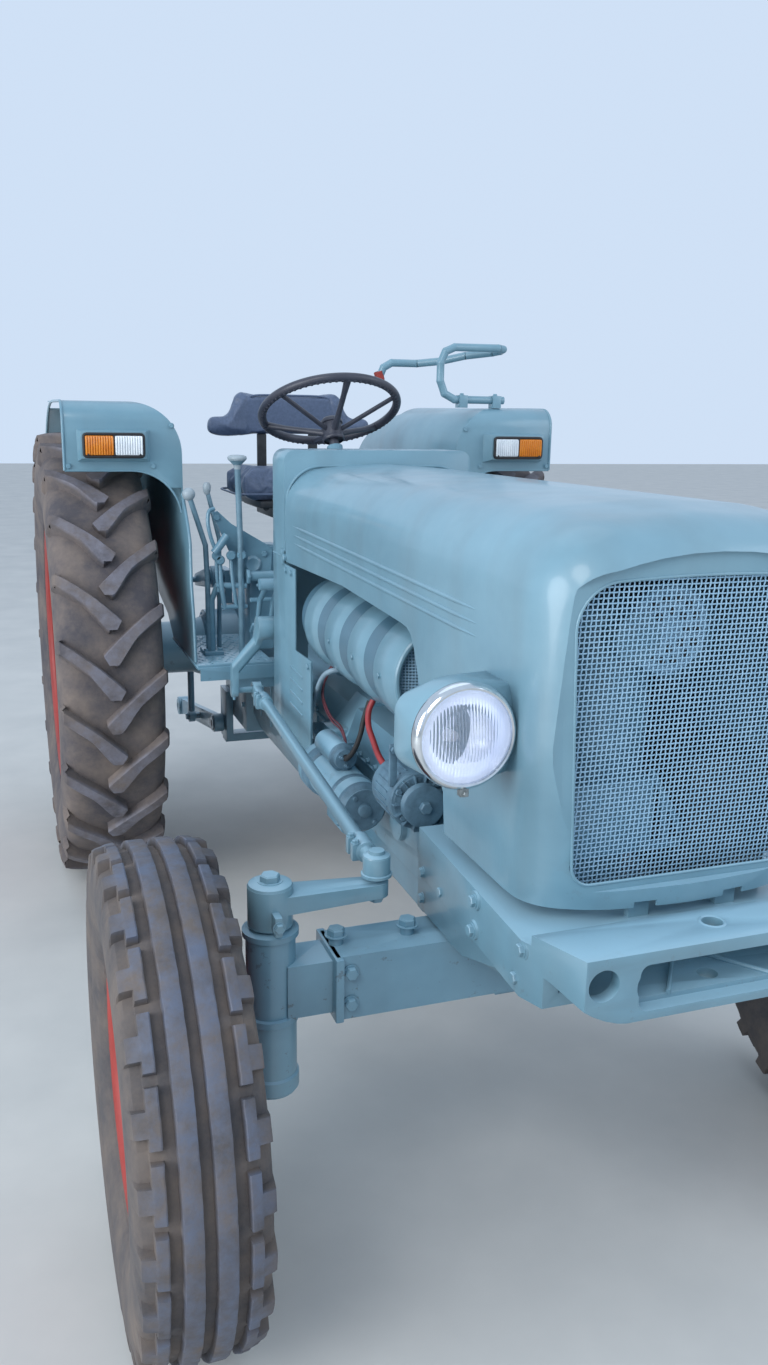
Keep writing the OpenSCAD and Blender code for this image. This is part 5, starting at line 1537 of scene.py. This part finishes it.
def controls():
    parts = Parts()
    y = 1560
    sheet = [(-369, 1277), (-352, 1282), (-310, 1243), (-197, 1176), (-184, 1160), (-190, 1064),
        (-300, 1058), (-318, 1160)]
    parts.add(*prism(*([front(x, y + d, z) for x, z in sheet] for d in (26, 36))))
    parts.box((-296, y + 36, 1064), (-150, y + 150, 1172), 12)
    parts.box((-250, y + 60, 840), (-170, y + 150, 1070), 10)
    for x, z in ((-286, 1171), (-210, 1150), (-355, 1262), (-200, 1085), (-286, 1085)):
        parts.bolt((x, y + 26, z), AHEAD, 9, 7)
    parts.lathe((-246, y + 28, 1118), AHEAD, [(0, -10), (24, -10), (27, 0), (27, 6), (20, 10), (12, 6),
        (0, 6)], 30)
    for x0, z0, x1, z1, radius, segments, bevel in ((-268, 1085, -120, 1085, 15.5, 22, 3),
            (-272, 1085, -262, 1085, 24, 6, 2), (-262, 1011, -120, 1011, 8, 16, 2), (-240, 1057, -120, 1051,
            6, 12, 2)):
        parts.rod((x0, y, z0), (x1, y, z1), radius, segments, bevel)
    for x0, z0, x1, z1, r in ((-352, 1137, -339, 986, 7), (-318, 1150, -302, 990, 6),
            (-286, 1150, -280, 985, 7), (-362, 1150, -357, 1040, 5)):
        middle = ((x0 + x1) / 2 - 4, y - 2, (z0 + z1) / 2)
        parts.tube(smooth_path([(x0, y + 8, z0), middle, (x1, y + 6, z1)]), r, 12)
        parts.lathe((x0, y - 2, z0), AHEAD, [(0, -14), (13, -14), (15, 0), (11, 6), (0, 6)], 20)
    parts.rod((-366, y + 4, 1060), (-270, y + 4, 1056), 9, 16, 2)
    parts.rod((-350, y + 6, 992), (-268, y + 6, 992), 7, 16, 2)
    strap = [(-364, y + 10, 1291), (-381, y + 6, 1283), (-386, y + 2, 1250), (-378, y, 1205),
        (-362, y, 1160)]
    parts.tube(smooth_path(strap), 6)
    parts.tube([(-330, y - 6, 1212), (-350, y - 8, 1186), (-371, y - 10, 1160)], 12.5, 16)
    parts.tube([(-350, y - 8, 1186), (-352, y + 20, 1180)], 8, 12)
    parts.tube([(-372, y + 40, 840), (-372, y + 40, 1010), (-357, y + 20, 1060)], 9, 12)
    parts.box((-400, y + 20, 838), (-340, y + 110, 850), 3)
    for x in (-392, -348):
        parts.bolt((x, y + 40, 850), Z, 8)
    parts.make("lever_console", PAINT_LOW, "levers")
    knobs = Parts()
    knobs.lathe((-295, 1560, 1419), Z, [(9.5, -12), (11, 0), (18, 8), (27.5, 16), (29, 21), (27.5, 26),
        (20, 29.5), (0, 31)], 36)
    angles = [math.radians(a) for a in range(0, 181, 12)]
    ball = [(19.6 * math.sin(a), -19.6 * math.cos(a)) for a in angles]
    for place in ((-435, 1600, 1332), (320, 1560, 1292)):
        knobs.lathe(place, Z, ball, 28)
    knobs.lathe((-369, 1660, 1338), Z, [(7.5, -12), (11.5, 0), (12.5, 14), (8, 24), (0, 26)], 24)
    knobs.make("lever_knobs", KNOB, "levers", 50)


def checker_plates():
    """Raised lozenges on the footplates, with their edge strips and the thin bent rod."""
    parts = Parts()
    lozenge = [(-9, 0), (-4, -2.4), (4, -2.4), (9, 0), (4, 2.4), (-4, 2.4)]
    for s in (-1, 1):
        for i, j in ((i, j) for i in range(9) for j in range(17)):
            x, y = 228 + 25 * i + (12.5 if j % 2 else 0), 1436 + 27 * j
            if x > 440:
                continue
            turn = Matrix.Rotation(math.radians(45 if (i + j) % 2 else -45), 3, "Z")
            foot, top = ([front(s * x, y, 838) + turn @ offset(a * wide, b * deep, up) for a, b in lozenge]
                for wide, deep, up in ((1, 1, 0), (0.75, 0.5, 1.8)))
            parts.add(*prism(foot, top))
        parts.box((s * 333 - 116, 1423, 837.5), (s * 333 + 116, 1431, 846))
        for y in (1440, 1600, 1760, 1880):
            parts.bolt((s * 432, y, 838), Z, 8, 5)
    parts.tube([(-401, 1450, 843), (-400, 1430, 845), (-345, 1430, 845)], 4)
    parts.tube([(-343, 1432, 830), (-343, 1431, 780), (-342, 1430, 733)], 5)
    parts.make("checker_plate", PAINT_LOW, "footplates", 40)


def rail_detail():
    parts = Parts()
    parts.lathe((265, 1908, 1713), (0.3, 0, -1), [(13, 0), (15.5, 2), (15.5, 30), (12, 36), (0, 37)], 28)
    parts.make("rail_plug", CASTING_RED, "grab_rail")


cowl_detail()
corner_lamps()
fender_detail()
seat()
steering_wheel_detail()
controls()
checker_plates()
rail_detail()

# Rear axle, linkage and running gear, in millimetres from the rear axle

DROOP = math.radians(10)


def circle_bolts(parts, spot, axis, radius, count, size, start=0.0):
    for x, y in circle(radius, count, start):
        parts.bolt(spot + axis_frame(axis) @ offset(x, y, 0), axis, size, size * 0.75)


def axle_detail():
    parts = Parts(rear)
    for s in (-1, 1):
        out = (s, 0, 0)
        circle_bolts(parts, rear(s * 300, 0, 750), out, 112, 8, 9, math.degrees(0.2))
        parts.lathe((s * 499, 0, 750), out, [(92, -30), (100, -24), (118, -4), (118, 3)], 48)
        parts.lathe((s * 300, 0, 750), out, [(92, 50), (105, 12), (120, 2), (130, 0)], 48)
        for z in (560, 640, 720, 800, 880):
            parts.bolt((s * 190, -150, z), out, 9, 7)
        for y, z in ((45, 905), (135, 905), (45, 1000), (135, 1000)):
            parts.bolt((s * 215, y, z), out, 10, 8)
        for y in (40, 140):
            for x in (60, 125):
                parts.bolt((s * x, y, 1005), Z, 9, 7)
    parts.lathe((0, 170, 600), Y, [(60, 0), (66, 4), (66, 18), (50, 22), (30, 22)], 44)
    circle_bolts(parts, rear(0, 190, 600), Y, 55, 6, 6)
    parts.make("axle_bolts_rear", PAINT_LOW, "rear_axle")
    shaft = Parts(rear)
    shaft.fan(rear(0, 0, 600), "Y", 6, (-3.5, 196, 16.5), (3.5, 260, 20.5), 1)
    shaft.lathe((0, 258, 600), Y, [(17.5, 0), (17.2, 4), (12, 6), (0, 5)], 30)
    shaft.rod((0, 340, 330), (0, 340, 402), 12.5, 24, 2)
    shaft.lathe((0, 340, 390), Z, [(14, 0), (22, 1), (22, 9), (12, 13), (0, 13)], 28)
    shaft.tube([(24 * a, 340, 412 + 17 * b) for a, b in circle(1, 20)], 2.8, 8, closed=True)
    shaft.rod((-46, 188, 947), (46, 188, 947), 9.5, 20, 1)
    shaft.make("shaft_and_pins", STEEL, "rear_axle")


def linkage_detail():
    for s, side in SIDES:
        along = Vector((0, math.cos(DROOP), -math.sin(DROOP)))
        pivot = rear(s * 240, 90, 430)
        parts = Parts()
        for spot, r in ((pivot, 34), (pivot + along * 0.83, 40)):
            for way in (-1, 1):
                washer = [(14.5, 0), (r * 0.85, 0), (r * 0.8, 2.5), (14.5, 2.5)]
                parts.lathe(spot + offset(way * 21.5, 0, 0), (way, 0, 0), washer)
        middle = pivot + along * 0.33
        parts.rod(middle - offset(30, 0, 0), middle + offset(30, 0, 0), 12.5, 24, 2)
        parts.make("link_washers_" + side, PAINT_LOW, "lower_link_" + side)
        rod = Parts()
        low = rear(s * 284, 90 + 330 * along.y, 430 + 330 * along.z)
        high = rear(s * 284, 415, 985)
        rod.lathe(low.lerp(high, 0.42), high - low, [(13, 0), (20, 3), (20, 130), (13, 134)], 6)
        for spot in (low, high):
            rod.bolt(spot + offset(s * 13, 0, 0), (s, 0, 0), 14, 9)
        rod.make("lift_rod_nuts_" + side, PAINT_LOW, "lift_rod_" + side)
    arms = Parts(rear)
    for s in (-1, 1):
        arms.bolt((s * 262, 90, 985), (s, 0, 0), 20, 12)
    arms.make("lift_arm_nuts", PAINT_LOW, "lift_arms")


def under_body():
    """Gearbox ribs, drain plug, muffler seams and clamps."""
    parts = Parts()
    for s in (-1, 1):
        out = (s, 0, 0)
        for k in range(7):
            parts.bolt((s * 165, 1000 + 140 * k, 770), out, 9, 7)
            parts.box((s * 165 - 4, 990 + 140 * k, 560), (s * 165 + 6, 1000 + 140 * k, 752), 3)
        parts.box((s * 163 - 6, 966, 752), (s * 163 + 6, 1950, 760))
        for z in range(540, 751, 42):
            parts.bolt((s * 190, 846, z), out, 9, 7)
    parts.rod((0, 1500, 468), (0, 1500, 482), 18, 6, 2)
    parts.make("gearbox_bolts", PAINT_LOW, "gearbox")
    seams = Parts()
    for y in (822, 838, 1312, 1329):
        seams.lathe((262, y, 560), Y, [(61.5, -2), (64.5, 0), (64.5, 6), (61.5, 8)], 48)
    for y in (1345, 1560):
        seams.lathe((272, y, 560), Y, [(24, 0), (27.5, 1), (27.5, 14), (24, 15)])
        seams.bolt((272, y + 7, 588), Z, 7, 8)
    seams.lathe((272, 1597, 560), Y, [(24, 0), (24.8, 2), (22.5, 3), (21.5, 0)])
    seams.make("muffler_seams", IRON, "exhaust")


axle_detail()
linkage_detail()
under_body()

# Camera, floor and light

EYE = Vector((-0.98962, FRONT_Y - 1.7182, 1.58048))
YAW, PITCH, ROLL = (math.radians(a) for a in (19.66, 13.88, 1.0))
FOCAL_PX = 1094.79
IMAGE_H_PX = 1365


def photo_camera():
    forward = Vector((math.sin(YAW) * math.cos(PITCH), math.cos(YAW) * math.cos(PITCH), -math.sin(PITCH)))
    level_right = Vector((math.cos(YAW), -math.sin(YAW), 0))
    above = level_right.cross(forward)
    right = math.cos(ROLL) * level_right + math.sin(ROLL) * above
    up = -math.sin(ROLL) * level_right + math.cos(ROLL) * above
    data = bpy.data.cameras.new("photo_camera")
    data.sensor_fit = "VERTICAL"
    data.sensor_height = 36
    data.lens = FOCAL_PX * data.sensor_height / IMAGE_H_PX
    data.clip_end = 100
    camera = linked("photo_camera", data)
    camera.matrix_world = Matrix((right, up, -forward)).transposed().to_4x4()
    camera.matrix_world.translation = EYE
    scene.camera = camera


def plain_floor():
    bpy.ops.mesh.primitive_plane_add(size=60)
    floor = bpy.context.object
    floor.name = "floor"
    s = Shader("floor", Roughness=0.85)
    s.feed(s.bsdf, {"Base Color": s.ramp(s.noise(3, 4), (0.3, "#c4c3bf"), (0.7, "#cfcdc8"))})
    floor.data.materials.append(s.material)


def area_light(name, place, target, size, power, colour):
    data = bpy.data.lights.new(name, "AREA")
    data.shape = "DISK"
    data.size = size
    data.energy = power
    data.color = colour
    light = linked(name, data)
    light.location = place
    light.rotation_euler = (Vector(target) - Vector(place)).to_track_quat("-Z", "Y").to_euler()


def studio_light():
    world = bpy.data.worlds.new("studio")
    world.use_nodes = True
    background = world.node_tree.nodes["Background"]
    background.inputs["Color"].default_value = (0.66, 0.79, 0.97, 1)
    background.inputs["Strength"].default_value = 0.95
    scene.world = world
    area_light("key", (-4.5, -5.5, 6.0), (0, 0, 0.8), 3.5, 160, (1.0, 0.98, 0.95))
    area_light("side", (-6.2, -2.6, 2.3), (0, 0, 0.8), 4.0, 240, (0.9, 0.95, 1.0))
    area_light("fill", (5.5, -4.0, 4.0), (0, 0, 0.9), 5.0, 120, (0.85, 0.92, 1.0))
    area_light("top", (0, 1.5, 7.5), (0, 0, 0.5), 6.0, 50, (0.82, 0.92, 1.0))


photo_camera()
plain_floor()
studio_light()
scene.view_settings.view_transform = "Standard"
